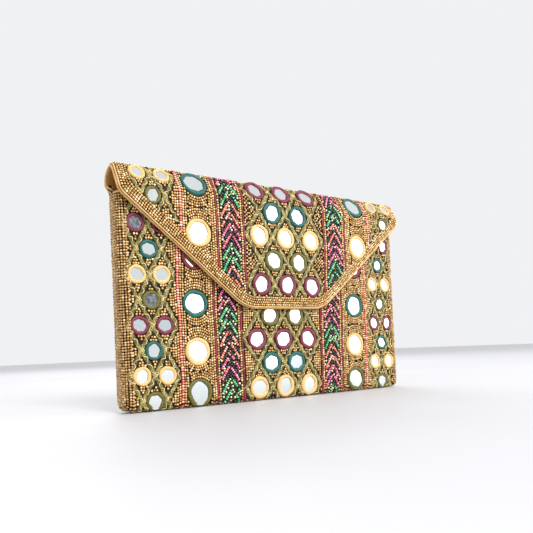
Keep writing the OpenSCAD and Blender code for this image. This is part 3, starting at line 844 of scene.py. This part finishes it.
def lattice_rows(panel, side):
    """Straight rows in the triangles beside the lattices and round the side edge."""
    for x in np.arange(*SIDE_ROWS, ROW):
        for p in np.arange(panel.p_low, panel.p_high, PITCH):
            if outside_lattice(x, p, *side_lattice(1), 2, False) > 0.12:
                p += rng.uniform(-0.1, 0.1)
                if panel.is_free(side * x, p):
                    panel.bead("gold_beads", side * x, p, 0, 1)
    for x in np.arange(*LATTICE_ROWS, ROW):
        for p in np.arange(panel.p_low, panel.p_high, PITCH):
            if outside_lattice(x, p, *MIDDLE, 3, True) > 0.1 and panel.is_free(side * x, p):
                panel.bead("gold_beads", side * x, p, 0, 1)


def gold_bead():
    return "gold_beads", None


def dress_pouch_panel(panel, middle_rows, side_rows, large, snap_z, arrow_sets, seed):
    """Embroidery of the front or back. The mirrors' seeds count on even where a mirror is left out."""
    stones, side_stones, large_stones = [], [], []
    for x, p, row in lattice(*MIDDLE, middle_rows, 3):
        on_snap = snap_z and math.hypot(x, p - snap_z) < SNAP_CLEAR
        if p + MIDDLE_R < panel.p_high + 2.5 and not on_snap:
            stones.append(ring(panel, x, p, MIDDLE_R, MIDDLE_COLOURS[row % 4], seed))
        seed += 1
    for side in (-1, 1):
        for x, p, row in lattice(*side_lattice(side), side_rows, 1):
            if p + SIDE_RING_R < panel.p_high + 1.5:
                side_stones.append(ring(panel, x, p, SIDE_RING_R, SIDE_COLOURS[row % 4], seed))
            seed += 1
    for side in (-1, 1):
        for p, colour in list(zip(LARGE_Z, LARGE_COLOURS))[:large]:
            large_stones.append(ring(panel, side * LARGE_X, p, LARGE_R, colour, seed))
            seed += 1
    if snap_z:
        panel.block(0, snap_z, SNAP_R + 0.1)
        stones.append((0.0, snap_z, SNAP_R))
    zigzags(panel, *MIDDLE, middle_rows, 3, 2.0)
    for side in (-1, 1):
        zigzags(panel, *side_lattice(side), side_rows, 2, 1.75)
    columns(panel, arrow_sets)
    arcs(panel, large_stones, 6, LARGE_FIELD)
    arcs(panel, stones, 2, MIDDLE_FIELD)
    arcs(panel, side_stones, 3, SIDE_FIELD)
    for side in (-1, 1):
        lattice_rows(panel, side)
    panel.fill(-SIDE_FIELD[1], SIDE_FIELD[1], gold_bead)


def dress_top():
    """Embroidery of the flap and of the fold above it."""
    panel, seed = top, 700
    stones, side_stones, large_stones = [], [], []
    places = [(x, p, FLAP_COLOURS[row]) for x, p, row in lattice(*FLAP_MIDDLE, 4, 3)]
    places += [(x, FOLD_RING_S, "maroon") for x in (-2 * MIDDLE_HALF, 0, 2 * MIDDLE_HALF)]
    for x, p, colour in places:
        stones.append(ring(panel, x, p, MIDDLE_R, colour, seed))
        seed += 1
    for side in (-1, 1):
        for p, colour in ((FLAP_LARGE_Z, "cream"), (FOLD_LARGE_S, "teal")):
            large_stones.append(ring(panel, side * LARGE_X, p, LARGE_R, colour, seed))
            seed += 1
        for k, p, colour in SIDE_TOP_RINGS:
            x = side * SIDE_X + k * SIDE_HALF
            side_stones.append(ring(panel, x, p, FLAP_SIDE_RING_R, colour, seed))
            seed += 1
    zigzags(panel, *FLAP_MIDDLE, 4, 3, 2.0)
    for side in (-1, 1):
        zigzags(panel, side * SIDE_X, SIDE_HALF, FLAP_SIDE_Z, FOLD_SIDE_S - FLAP_SIDE_Z, 2, 2, 1.6)
    columns(panel, TOP_ARROWS)
    arcs(panel, large_stones, 8, LARGE_FIELD)
    arcs(panel, stones, 2, MIDDLE_FIELD)
    arcs(panel, side_stones, 3, FLAP_SIDE_FIELD)
    for side in (-1, 1):
        rows_up(panel, side * np.arange(72, 93, ROW))
        rows_up(panel, side * np.arange(SIDE_ROWS[0], FLAP_SIDE_FIELD[1], ROW))
    panel.fill(-FLAP_SIDE_FIELD[1], FLAP_SIDE_FIELD[1], gold_bead)


ARROW_RUN = ("coral", "pink", "green")
FRONT_ARROWS = {
    -1: arrows(147.0, 9.0, ("green", "pink"), 4) + arrows(110.6, 9.05, ARROW_RUN, 13),
    1: arrows(140.0, 9.0, ("green", "coral"), 3) + arrows(113.0, 9.0, ("pink",), 2)
    + arrows(95.1, 8.7, ARROW_RUN, 12),
}
BACK_ARROWS = {
    -1: arrows(158.0, 9.0, ("pink", "green", "coral"), 18),
    1: arrows(154.0, 9.0, ("green", "coral", "pink"), 18),
}
TOP_ARROWS = {
    -1: arrows(188.5, 8.25, ("pink", "green", "coral"), 14),
    1: arrows(182.0, 8.35, ("pink", "green", "coral"), 13),
}

dress_pouch_panel(front, 7, 8, 4, SNAP_Z, FRONT_ARROWS, 100)
dress_pouch_panel(back, 8, 9, 5, None, BACK_ARROWS, 400)


def edge_rows(panel, xs, p1):
    """Rows of beads that run up round both side edges."""
    for side in (-1, 1):
        for x in xs:
            p = np.linspace(0.6, p1, 60)
            panel.string("edge_beads", side * (x + 0.15 * np.sin(p / 9 + x)), p, force=True)


edge_rows(front, EDGE_ROWS, MOUTH_Z - 0.6)
edge_rows(back, EDGE_ROWS[:OVER_FOLD], back.p_high)
edge_rows(back, EDGE_ROWS[OVER_FOLD:], MOUTH_Z - 1)


def underside_rows():
    """Rows that run along the underside."""
    x = np.linspace(-EDGE_X - SIDE_R * 1.4, EDGE_X + SIDE_R * 1.4, 80)
    for s in np.arange(S_BACK + 0.8, S_FRONT - 0.4, ROW):
        under.string("gold_beads", x, np.full(len(x), s - S_FRONT), dia=1.6, force=True)


underside_rows()
dress_top()


def both_halves(x, z):
    """A whole outline from its right half."""
    return np.concatenate([-x[::-1], x[1:]]), np.concatenate([z[::-1], z[1:]])


for inset in BORDER_INSETS:
    border.string("gold_beads", *both_halves(*flap_edge(inset)), force=True)


# ---------------------------------------------------------------- sheets, linings and pipings
def stretches(*spans):
    """Numbers from several spans, each given as its start, its end and its count."""
    return np.concatenate([np.linspace(*span) for span in spans])


def sheet_grid(s, shares, half):
    """Cloth places of a sheet: for each length s, the shares of its half width there."""
    along = np.repeat(s[None], len(shares), 0)
    return shares[:, None] * half(along), along


def lining_depth(s):
    """How far the satin lies under the outer cloth face: deeper where a board lies between them."""
    board = np.maximum(smooth((164 - s) / 4), smooth((s - S_CUT[2]) / 8))
    return 1.35 + 0.5 * board


def top_sheets():
    """Cloth and lining of the flap and of both fold strips."""
    shares = np.linspace(-1, 1, 141)
    ends = (FLAP_BOTTOM + 1.8, *S_CUT)
    for section, start, end, count in zip(SECTIONS, ends, ends[1:], (90, 24, 24)):
        rows = np.linspace(start, end, count)
        x, s = sheet_grid(rows, shares, lambda v: flap_half(v, CLOTH_INSET))
        slab("cloth", section, x, s, 0.0, -0.8)
        x, s = sheet_grid(rows, shares, lambda v: flap_half(v, LINING_INSET))
        depth = lining_depth(s) + bulge(x, s) * (s < SEG[1, 0])
        pucker = 0.12 * np.sin(x / 4.3 + 1.5 * np.sin(s / 17)) * np.sin(s / 11 + x / 60)
        slab("lining", section, x, s, -depth - ripple(x, s), -depth - 0.42 + pucker)


def pouch_half(s):
    """Half the width of the pouch's cloth: out to the side seams, and narrower behind the fold."""
    return FOLD_HALF - 1.0 + (SEAM_X - FOLD_HALF + 0.9) * smooth((s - WRAP[0]) / WRAP_L)


def bag_point(x, s, depth):
    """Place on the lining bag: a smaller copy of the cloth's shape, with soft folds in the satin."""
    p = cloth_point(x, s)
    inset = 2.0 - depth
    wrinkle = 0.5 * np.sin(x / 9.0 + 2.0 * np.sin(s / 23.0)) + 0.35 * np.sin(x / 21.0 - s / 14.0)
    wrinkle += 0.25 * np.sin(x / 5.0 + s / 31.0)
    calm = smooth((S_END - s) / 12) * smooth((s - S_CUT[2]) / 12) * smooth((136 - np.abs(x)) / 12)
    y = p[..., 1] - (inset + 0.45 * (wrinkle + 1.1) * calm) * np.clip(p[..., 1] / 5, -1, 1)
    z = p[..., 2] + inset * np.clip(1 - p[..., 2] / 60, 0, 1)
    return np.stack([p[..., 0] * (1 - (inset - 0.4) / SEAM_HALF), y, z], -1)


def pouch_sheets():
    """Outer cloth, stiffening boards and lining bag."""
    shares = stretches((-1, -0.9, 24), (-0.89, 0.89, 90), (0.9, 1, 24))
    rows = stretches((S_CUT[2], S_BACK - 8, 80), (S_BACK - 7, S_FRONT + 7, 30), (S_FRONT + 8, S_END, 80))
    slab("cloth", "pouch", *sheet_grid(rows, shares, pouch_half), 0.0, -0.75)
    for s0, s1 in ((S_FRONT + 5, S_FRONT + MOUTH_Z - 2), (S_BACK - MOUTH_Z + 2, S_BACK - 5)):
        x, s = sheet_grid(np.linspace(s0, s1, 60), np.linspace(-1, 1, 120), lambda v: EDGE_X - 1 + 0 * v)
        slab("card", "pouch", x, s, -0.85, -1.75, calm_place)
    rows = stretches(
        (S_CUT[2], S_BACK - 6, 110), (S_BACK - 5, S_FRONT + 5, 24), (S_FRONT + 6, S_END - 0.6, 110)
    )
    x, s = sheet_grid(rows, shares, lambda v: pouch_half(v) - 0.4)
    slab("lining", "pouch", x, s, 0.0, -0.45, bag_point)


def slip_pocket():
    """Flat satin pocket on the lining's back, a little slack at its corded mouth."""
    (x0, _, z0), (x1, back_y, z1) = low("slip_pocket"), high("slip_pocket")

    def pocket_point(x, z, depth):
        u, v = (x - x0) / (x1 - x0), (z - z0) / (z1 - z0)
        slack = 1.6 * np.sin(u * math.pi) ** 0.7 * v**2 + 0.15 * np.sin(x / 6) * v
        return np.stack([x, back_y - 1.1 - slack - depth, z], -1)

    across = np.linspace(x0, x1, 60)
    x, z = np.meshgrid(across, np.linspace(z0, z1, 40), indexing="ij")
    slab("pocket", "pouch", x, z, 0.0, -0.4, pocket_point)
    mouth = pocket_point(across, np.full(60, z1), 0.0)
    sweep("pocket", "pouch", mouth, np.array([0.0, 0.0, 1.0]), 0.7, 0.7, 8, 0.5)


def pipings():
    """Two satin cords side by side along the flap's edge and the fold's ends, and one along the mouth."""
    # The outer cord, which turns under the edge, is painted darker and the inner one on top lighter: painted
    # shade and highlight
    for inset, radius, height, tone in ((0.7, 0.92, -1.45, 0.35), (1.35, 0.6, 0.2, 0.8)):
        x, z = flap_edge(inset)
        x, z = both_halves(np.append(x, x[-1]), np.append(z, WRAP[1]))
        run = lengths(x, z)
        at = np.arange(0, run[-1], 0.9)
        px, ps = np.interp(at, run, x), np.interp(at, run, z)
        tube("piping", px, ps, height, radius, radius, 10, tone + 0.12 * np.sin(at / 2.1))
    x = np.linspace(-SEAM_X + 0.4, SEAM_X - 0.4, 300)
    tube("mouth_piping", x, np.full(300, S_END), -0.3, MOUTH_PIPING_D / 2, MOUTH_PIPING_D / 2, 10, 0.5)


def seam_beads():
    """Beads strung up both side seams."""
    for side in (-1, 1):
        p = np.linspace(6, MOUTH_Z, 80)
        front.string("seam_beads", np.full(80, side * (SEAM_X - 0.3)), p, force=True)


top_sheets()
pouch_sheets()
slip_pocket()
pipings()
seam_beads()
flush_beads()


# ---------------------------------------------------------------- materials
def lin(code):
    """Linear colour of a hex code."""
    out = []
    for k in (1, 3, 5):
        c = int(code[k : k + 2], 16) / 255
        out.append(c / 12.92 if c <= 0.04045 else ((c + 0.055) / 1.055) ** 2.4)
    return (*out, 1.0)


class Shader:
    """Small helper for building a Principled material from nodes."""

    def __init__(self, name):
        self.mat = bpy.data.materials.new(name)
        self.mat.use_nodes = True
        self.tree = self.mat.node_tree
        self.bsdf = self.tree.nodes["Principled BSDF"]

    def node(self, kind, **values):
        n = self.tree.nodes.new(kind)
        for key, value in values.items():
            if key in n.inputs:
                n.inputs[key].default_value = value
            else:
                setattr(n, key, value)
        return n

    def link(self, a, b):
        self.tree.links.new(a, b)

    def set(self, **values):
        for key, value in values.items():
            self.bsdf.inputs[key.replace("_", " ")].default_value = value

    def place(self):
        return self.node("ShaderNodeTexCoord").outputs["Object"]

    def noise(self, scale, detail=3.0):
        n = self.node("ShaderNodeTexNoise", Scale=scale, Detail=detail)
        self.link(self.place(), n.inputs["Vector"])
        return n.outputs["Fac"]

    def wave(self, scale, **values):
        n = self.node("ShaderNodeTexWave", Scale=scale, **values)
        self.link(self.place(), n.inputs["Vector"])
        return n.outputs["Fac"]

    def maths(self, operation, a, b):
        n = self.node("ShaderNodeMath", operation=operation)
        for k, v in enumerate((a, b)):
            if isinstance(v, (int, float)):
                n.inputs[k].default_value = v
            else:
                self.link(v, n.inputs[k])
        return n.outputs["Value"]

    def share(self, source, amount):
        return self.maths("MULTIPLY", source, amount)

    def tone(self):
        """The tone painted on the mesh's points: the mesh's own tone, with painted shade and highlight on
        beads, rings and pipings and a painted dark reflection on some mirrors.
        """
        return self.node("ShaderNodeAttribute", attribute_name="tone").outputs["Fac"]

    def uneven_tone(self, grain, amount):
        """The mesh's tone, made uneven by a grain."""
        return self.maths("ADD", self.tone(), self.share(self.maths("SUBTRACT", grain, 0.5), amount))

    def colours(self, source, places, codes):
        """Base colour from a ramp of hex codes at the given places."""
        n = self.node("ShaderNodeValToRGB")
        stops = n.color_ramp.elements
        while len(stops) < len(places):
            stops.new(0.5)
        for stop, place, code in zip(stops, places, codes.split()):
            stop.position = place
            stop.color = lin(code)
        self.link(source, n.inputs["Fac"])
        self.link(n.outputs["Color"], self.bsdf.inputs["Base Color"])

    def roughness(self, source, lowest, highest):
        n = self.node("ShaderNodeMapRange")
        n.inputs["To Min"].default_value = lowest
        n.inputs["To Max"].default_value = highest
        self.link(source, n.inputs["Value"])
        self.link(n.outputs["Result"], self.bsdf.inputs["Roughness"])

    def bump(self, height, strength, distance):
        n = self.node("ShaderNodeBump", Strength=strength, Distance=distance)
        self.link(height, n.inputs["Height"])
        self.link(n.outputs["Normal"], self.bsdf.inputs["Normal"])


def bead_material(name, places, codes, metallic, rough, coat):
    m = Shader(name)
    m.colours(m.uneven_tone(m.noise(900.0, 2.0), 0.35), places, codes)
    m.set(Metallic=metallic, Coat_Weight=coat, Coat_Roughness=0.12)
    m.roughness(m.noise(1400.0, 2.0), rough * 0.8, rough * 1.3)
    m.bump(m.noise(1700.0, 2.0), 0.12, 0.0003)
    return m.mat


def gold_material(name, codes):
    return bead_material(name, (0.0, 0.3, 0.55, 0.8, 1.0), codes, 0.45, 0.36, 0.3)


def glass_material(name, codes):
    return bead_material(name, (0.0, 0.3, 0.6, 0.82, 1.0), codes, 0.05, 0.2, 0.6)


def thread_material(name, codes, scale=2600.0):
    m = Shader(name)
    fibre = m.noise(scale, 4.0)
    m.colours(m.uneven_tone(fibre, 0.7), (0.0, 0.5, 1.0), codes)
    m.set(Sheen_Weight=0.08, Sheen_Roughness=0.4, Specular_IOR_Level=0.55)
    m.roughness(fibre, 0.3, 0.5)
    m.bump(fibre, 0.35, 0.0002)
    return m.mat


def satin_material(name, codes):
    m = Shader(name)
    weave = m.wave(900.0, Distortion=1.5, Detail=2.0, wave_type="BANDS", bands_direction="DIAGONAL")
    cloudy = m.maths("ADD", m.share(m.noise(60.0), 0.35), m.share(weave, 0.15))
    m.colours(m.maths("ADD", m.share(m.tone(), 0.5), cloudy), (0.0, 0.5, 1.0), codes)
    m.set(Metallic=0.15, Sheen_Weight=0.4, Sheen_Roughness=0.3, Anisotropic=0.4)
    m.roughness(weave, 0.3, 0.45)
    m.bump(weave, 0.12, 0.0001)
    return m.mat


def cloth_material():
    m = Shader("ground_cloth")
    warp, weft = (m.wave(1200.0, Distortion=0.6, bands_direction=axis) for axis in "XZ")
    weave = m.maths("MULTIPLY", warp, weft)
    cloudy = m.maths("ADD", m.share(weave, 0.5), m.share(m.noise(40.0), 0.5))
    # Dark brown so that the gaps between the beads read dark: painted shade between the beads
    m.colours(cloudy, (0.1, 0.8), "#140d05 #3a2a12")
    m.roughness(weave, 0.75, 0.95)
    m.bump(weave, 0.4, 0.0002)
    return m.mat


def mirror_material():
    m = Shader("mirror_glass")
    spots = m.noise(420.0, 4.0)
    # The ramp's dark end mostly serves the painted dark reflection of the mirrors in the listed rows
    m.colours(m.uneven_tone(spots, 0.5), (0.0, 0.5, 0.8, 1.0), "#eef3f3 #dfe8e9 #c3ccd2 #6a696f")
    m.set(Metallic=1.0, Coat_Weight=0.6, Coat_Roughness=0.02)
    m.roughness(spots, 0.02, 0.1)
    m.bump(m.noise(120.0, 1.0), 0.05, 0.0002)
    return m.mat


def metal_material():
    m = Shader("snap_metal")
    brushed = m.noise(800.0, 4.0)
    m.colours(brushed, (0.3, 0.7), "#9a8450 #d8c48c")
    m.set(Metallic=1.0)
    m.roughness(brushed, 0.18, 0.34)
    m.bump(brushed, 0.05, 0.0001)
    return m.mat


def card_material():
    m = Shader("stiffener_card")
    pulp = m.noise(500.0, 5.0)
    m.colours(pulp, (0.3, 0.7), "#a39473 #c6b692")
    m.roughness(pulp, 0.8, 0.95)
    m.bump(pulp, 0.2, 0.0003)
    return m.mat


MATERIALS = {
    "gold_beads": gold_material("gold_beads", "#211104 #6d451a #b07e3c #e3b970 #fff0cc"),
    # A darker copy of the gold for the beads round the side edges and seams: painted shade on the side walls
    "edge_beads": gold_material("edge_gold_beads", "#1c0e04 #5c3a16 #966b33 #caa05e #f3dcae"),
    "coral_beads": glass_material("coral_beads", "#8e1d10 #d03f27 #f0765a #ffb8a2 #fff0ea"),
    "pink_beads": glass_material("pink_beads", "#75082a #bb1a4c #e64a7a #fb9cb8 #ffe6ee"),
    "green_beads": glass_material("green_beads", "#053c1b #0f7c38 #2fae5c #7fdc9e #d6f9e0"),
    "black_beads": bead_material("black_beads", (0.0, 0.6, 1.0), "#08080b #17171c #3c3c44", 0.2, 0.16, 0.8),
    "rings_maroon": thread_material("maroon_thread", "#3a061a #751436 #a23355"),
    "rings_teal": thread_material("teal_thread", "#002f2c #00564f #1f8377"),
    "rings_cream": thread_material("cream_thread", "#b98238 #f0c47c #fde3ae"),
    "rings_olive": thread_material("olive_thread", "#2f2c06 #5f5a14 #8f8734"),
    "braid": thread_material("braid_thread", "#211f0b #5a5624 #8a8242", 1500.0),
    "braid_thread": thread_material("braid_light_thread", "#5f5922 #a0964c #d2c67c"),
    "gold_thread": thread_material("gold_thread", "#a68b42 #ddc377 #fbeebd"),
    "cord": thread_material("maroon_cord", "#33060f #7c1128 #b9243f"),
    "piping": satin_material("satin_piping", "#a9712c #dfae66 #ffdfa6"),
    # The lining's satin is darker than the piping's: painted shade for the shadowed inside of the flap and
    # fold
    "lining": satin_material("satin_lining", "#7d5220 #b98645 #dcb173"),
    "cloth": cloth_material(),
    "mirrors": mirror_material(),
    "metal": metal_material(),
    "card": card_material(),
}
for alias, source in (("seam_beads", "edge_beads"), ("mouth_piping", "piping"), ("pocket", "lining")):
    MATERIALS[alias] = MATERIALS[source]

# How the CAD nodes that a kind stands for end, after the name of their part of the purse
NODE_ENDS = {
    "gold_beads": "gold_beads",
    "coral_beads": "coral_lines arrows_coral",
    "pink_beads": "arrows_pink",
    "green_beads": "arrows_green arrows",
    "black_beads": "black_ground",
    "cord": "maroon_cords cords",
    "braid": "braids",
    "mirrors": "mirrors",
    "cloth": "cloth",
    "lining": "lining",
    "piping": "piping",
}
# Nodes of the pouch with names of their own
POUCH_NODES = {
    "edge_beads": "side_edge_beads",
    "seam_beads": "side_seam_cords",
    "cloth": "outer_cloth",
    "lining": "lining_bag",
    "mouth_piping": "mouth_piping",
    "pocket": "slip_pocket",
    "card": "front_board back_board",
}


def stands_for(kind, section):
    """CAD nodes that the pieces of a kind replace on a section."""
    prefix = "body" if section == "pouch" else section
    ends = kind if kind in RIGID_KINDS else NODE_ENDS.get(kind, "")
    nodes = [f"{prefix}_{end}" for end in ends.split()]
    if section == "pouch":
        nodes += POUCH_NODES.get(kind, "").split()
    return [node for node in nodes if node in frame["nodes"]]


# ---------------------------------------------------------------- meshes
def build_object(name, group):
    """One mesh from several batches, with a tone on each point and a UV tile for each shape."""
    def joined(key, counted=None):
        """The batches' arrays in one, with numbers that count on from batch to batch."""
        starts = np.cumsum([0] + [counted(b) for b in group[:-1]]) if counted else [0] * len(group)
        return np.concatenate([b[key] + start for b, start in zip(group, starts)])

    def points(batch):
        return len(batch["verts"])

    def shapes(batch):
        return batch["shapes"]

    side = math.ceil(math.sqrt(sum(shapes(b) for b in group)))

    def tile_uv(face):
        tile = joined(face + "_tile", shapes)
        corner = np.stack([tile % side, tile // side], -1)[:, None]
        return ((corner + 0.04 + 0.92 * joined(face + "_uv")) / side).reshape(-1, 2)

    verts, quads, tris = joined("verts"), joined("quads", points), joined("tris", points)
    mesh = bpy.data.meshes.new(name)
    mesh.vertices.add(len(verts))
    mesh.vertices.foreach_set("co", (verts * MM).astype(np.float32).ravel())
    loops = np.concatenate([quads.ravel(), tris.ravel()])
    mesh.loops.add(len(loops))
    mesh.loops.foreach_set("vertex_index", loops.astype(np.int32))
    sizes = np.repeat([4, 3], [len(quads), len(tris)])
    mesh.polygons.add(len(sizes))
    mesh.polygons.foreach_set("loop_start", (np.cumsum(sizes) - sizes).astype(np.int32))
    mesh.polygons.foreach_set("loop_total", sizes.astype(np.int32))
    mesh.update(calc_edges=True)
    mesh.polygons.foreach_set("use_smooth", sizes == 4)
    layer = mesh.uv_layers.new(name="OFBake")
    uv = np.concatenate([tile_uv("quad"), tile_uv("tri")])
    layer.data.foreach_set("uv", uv.astype(np.float32).ravel())
    attribute = mesh.attributes.new("tone", "FLOAT", "POINT")
    attribute.data.foreach_set("value", joined("tone").astype(np.float32))
    mesh.validate()
    obj = bpy.data.objects.new(name, mesh)
    bpy.context.scene.collection.objects.link(obj)
    return obj


def split(group):
    """Batches in runs that stay under the limit of triangles."""
    runs, count = [[]], 0
    for batch in group:
        triangles = 2 * len(batch["quads"]) + len(batch["tris"])
        if runs[-1] and count + triangles > MAX_TRIANGLES:
            runs.append([])
            count = 0
        runs[-1].append(batch)
        count += triangles
    return runs


for (kind, section), group in batches.items():
    runs = split(group)
    for k, run in enumerate(runs):
        obj = build_object(f"{section}_{kind}" + (f"_{k + 1}" if len(runs) > 1 else ""), run)
        obj.data.materials.append(MATERIALS[kind])
        bind(obj, kind, section)
        if k == 0 and stands_for(kind, section):
            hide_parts(*stands_for(kind, section))

# CAD nodes that are shown as they are
for node in ("flap_board", "snap_socket", "socket_washer", "snap_stud", "stud_washer"):
    data = frame["nodes"][node].data
    data.materials.clear()
    data.materials.append(MATERIALS["card" if node == "flap_board" else "metal"])


# ---------------------------------------------------------------- stage, light and camera, in metres
FLOOR_HALF = 4.0


def stage():
    mesh = bpy.data.meshes.new("floor")
    corners = [(-1, -1), (1, -1), (1, 1), (-1, 1)]
    mesh.from_pydata([(x * FLOOR_HALF, y * FLOOR_HALF, 0) for x, y in corners], [], [(0, 1, 2, 3)])
    floor = bpy.data.objects.new("floor", mesh)
    bpy.context.scene.collection.objects.link(floor)
    m = Shader("floor")
    m.colours(m.noise(3.0), (0.3, 0.7), "#cdcdd0 #d4d4d7")
    m.set(Roughness=0.55)
    mesh.materials.append(m.mat)


def area_light(name, place, aim_z, width, height, power):
    """A rectangular light aimed at a height over the middle of the purse."""
    light = bpy.data.lights.new(name, "AREA")
    light.shape = "RECTANGLE"
    light.size, light.size_y, light.energy = width, height, power
    obj = bpy.data.objects.new(name, light)
    obj.location = place
    obj.rotation_euler = (Vector((0, 0, aim_z)) - Vector(place)).to_track_quat("-Z", "Y").to_euler()
    bpy.context.scene.collection.objects.link(obj)


def world():
    studio = bpy.data.worlds.new("studio")
    studio.use_nodes = True
    bpy.context.scene.world = studio
    background = studio.node_tree.nodes["Background"]
    background.inputs["Color"].default_value = (0.95, 0.955, 0.97, 1)
    background.inputs["Strength"].default_value = 0.92
    bpy.context.scene.view_settings.view_transform = "Standard"


# The camera looks level from the front left, rolled a little, and its picture is shifted upwards
CAMERA_AT = Vector((-0.29905, -0.39373, 0.0414))
YAW, ROLL = math.radians(36.2), math.radians(-2.35)
LENS, SENSOR, SHIFT_UP = 39.512, 36.0, 0.15497


def camera():
    ahead = Vector((math.sin(YAW), math.cos(YAW), 0))
    level = Vector((math.cos(YAW), -math.sin(YAW), 0))
    up = Vector((0, 0, 1))
    axis_x = math.cos(ROLL) * level + math.sin(ROLL) * up
    axis_y = -math.sin(ROLL) * level + math.cos(ROLL) * up
    data = bpy.data.cameras.new("camera")
    data.lens, data.sensor_width, data.shift_y = LENS, SENSOR, SHIFT_UP
    data.clip_start = 0.01
    obj = bpy.data.objects.new("camera", data)
    turn = Matrix((axis_x, axis_y, -ahead)).transposed().to_4x4()
    obj.matrix_world = Matrix.Translation(CAMERA_AT) @ turn
    bpy.context.scene.collection.objects.link(obj)
    bpy.context.scene.camera = obj


stage()
world()
area_light("key", (-0.15, -1.5, 1.3), 0.08, 0.7, 0.7, 22)
area_light("front_right", (1.3, -1.1, 0.5), 0.09, 1.6, 1.4, 14)
area_light("rim", (0.4, 1.2, 1.0), 0.1, 1.0, 0.6, 8)
camera()
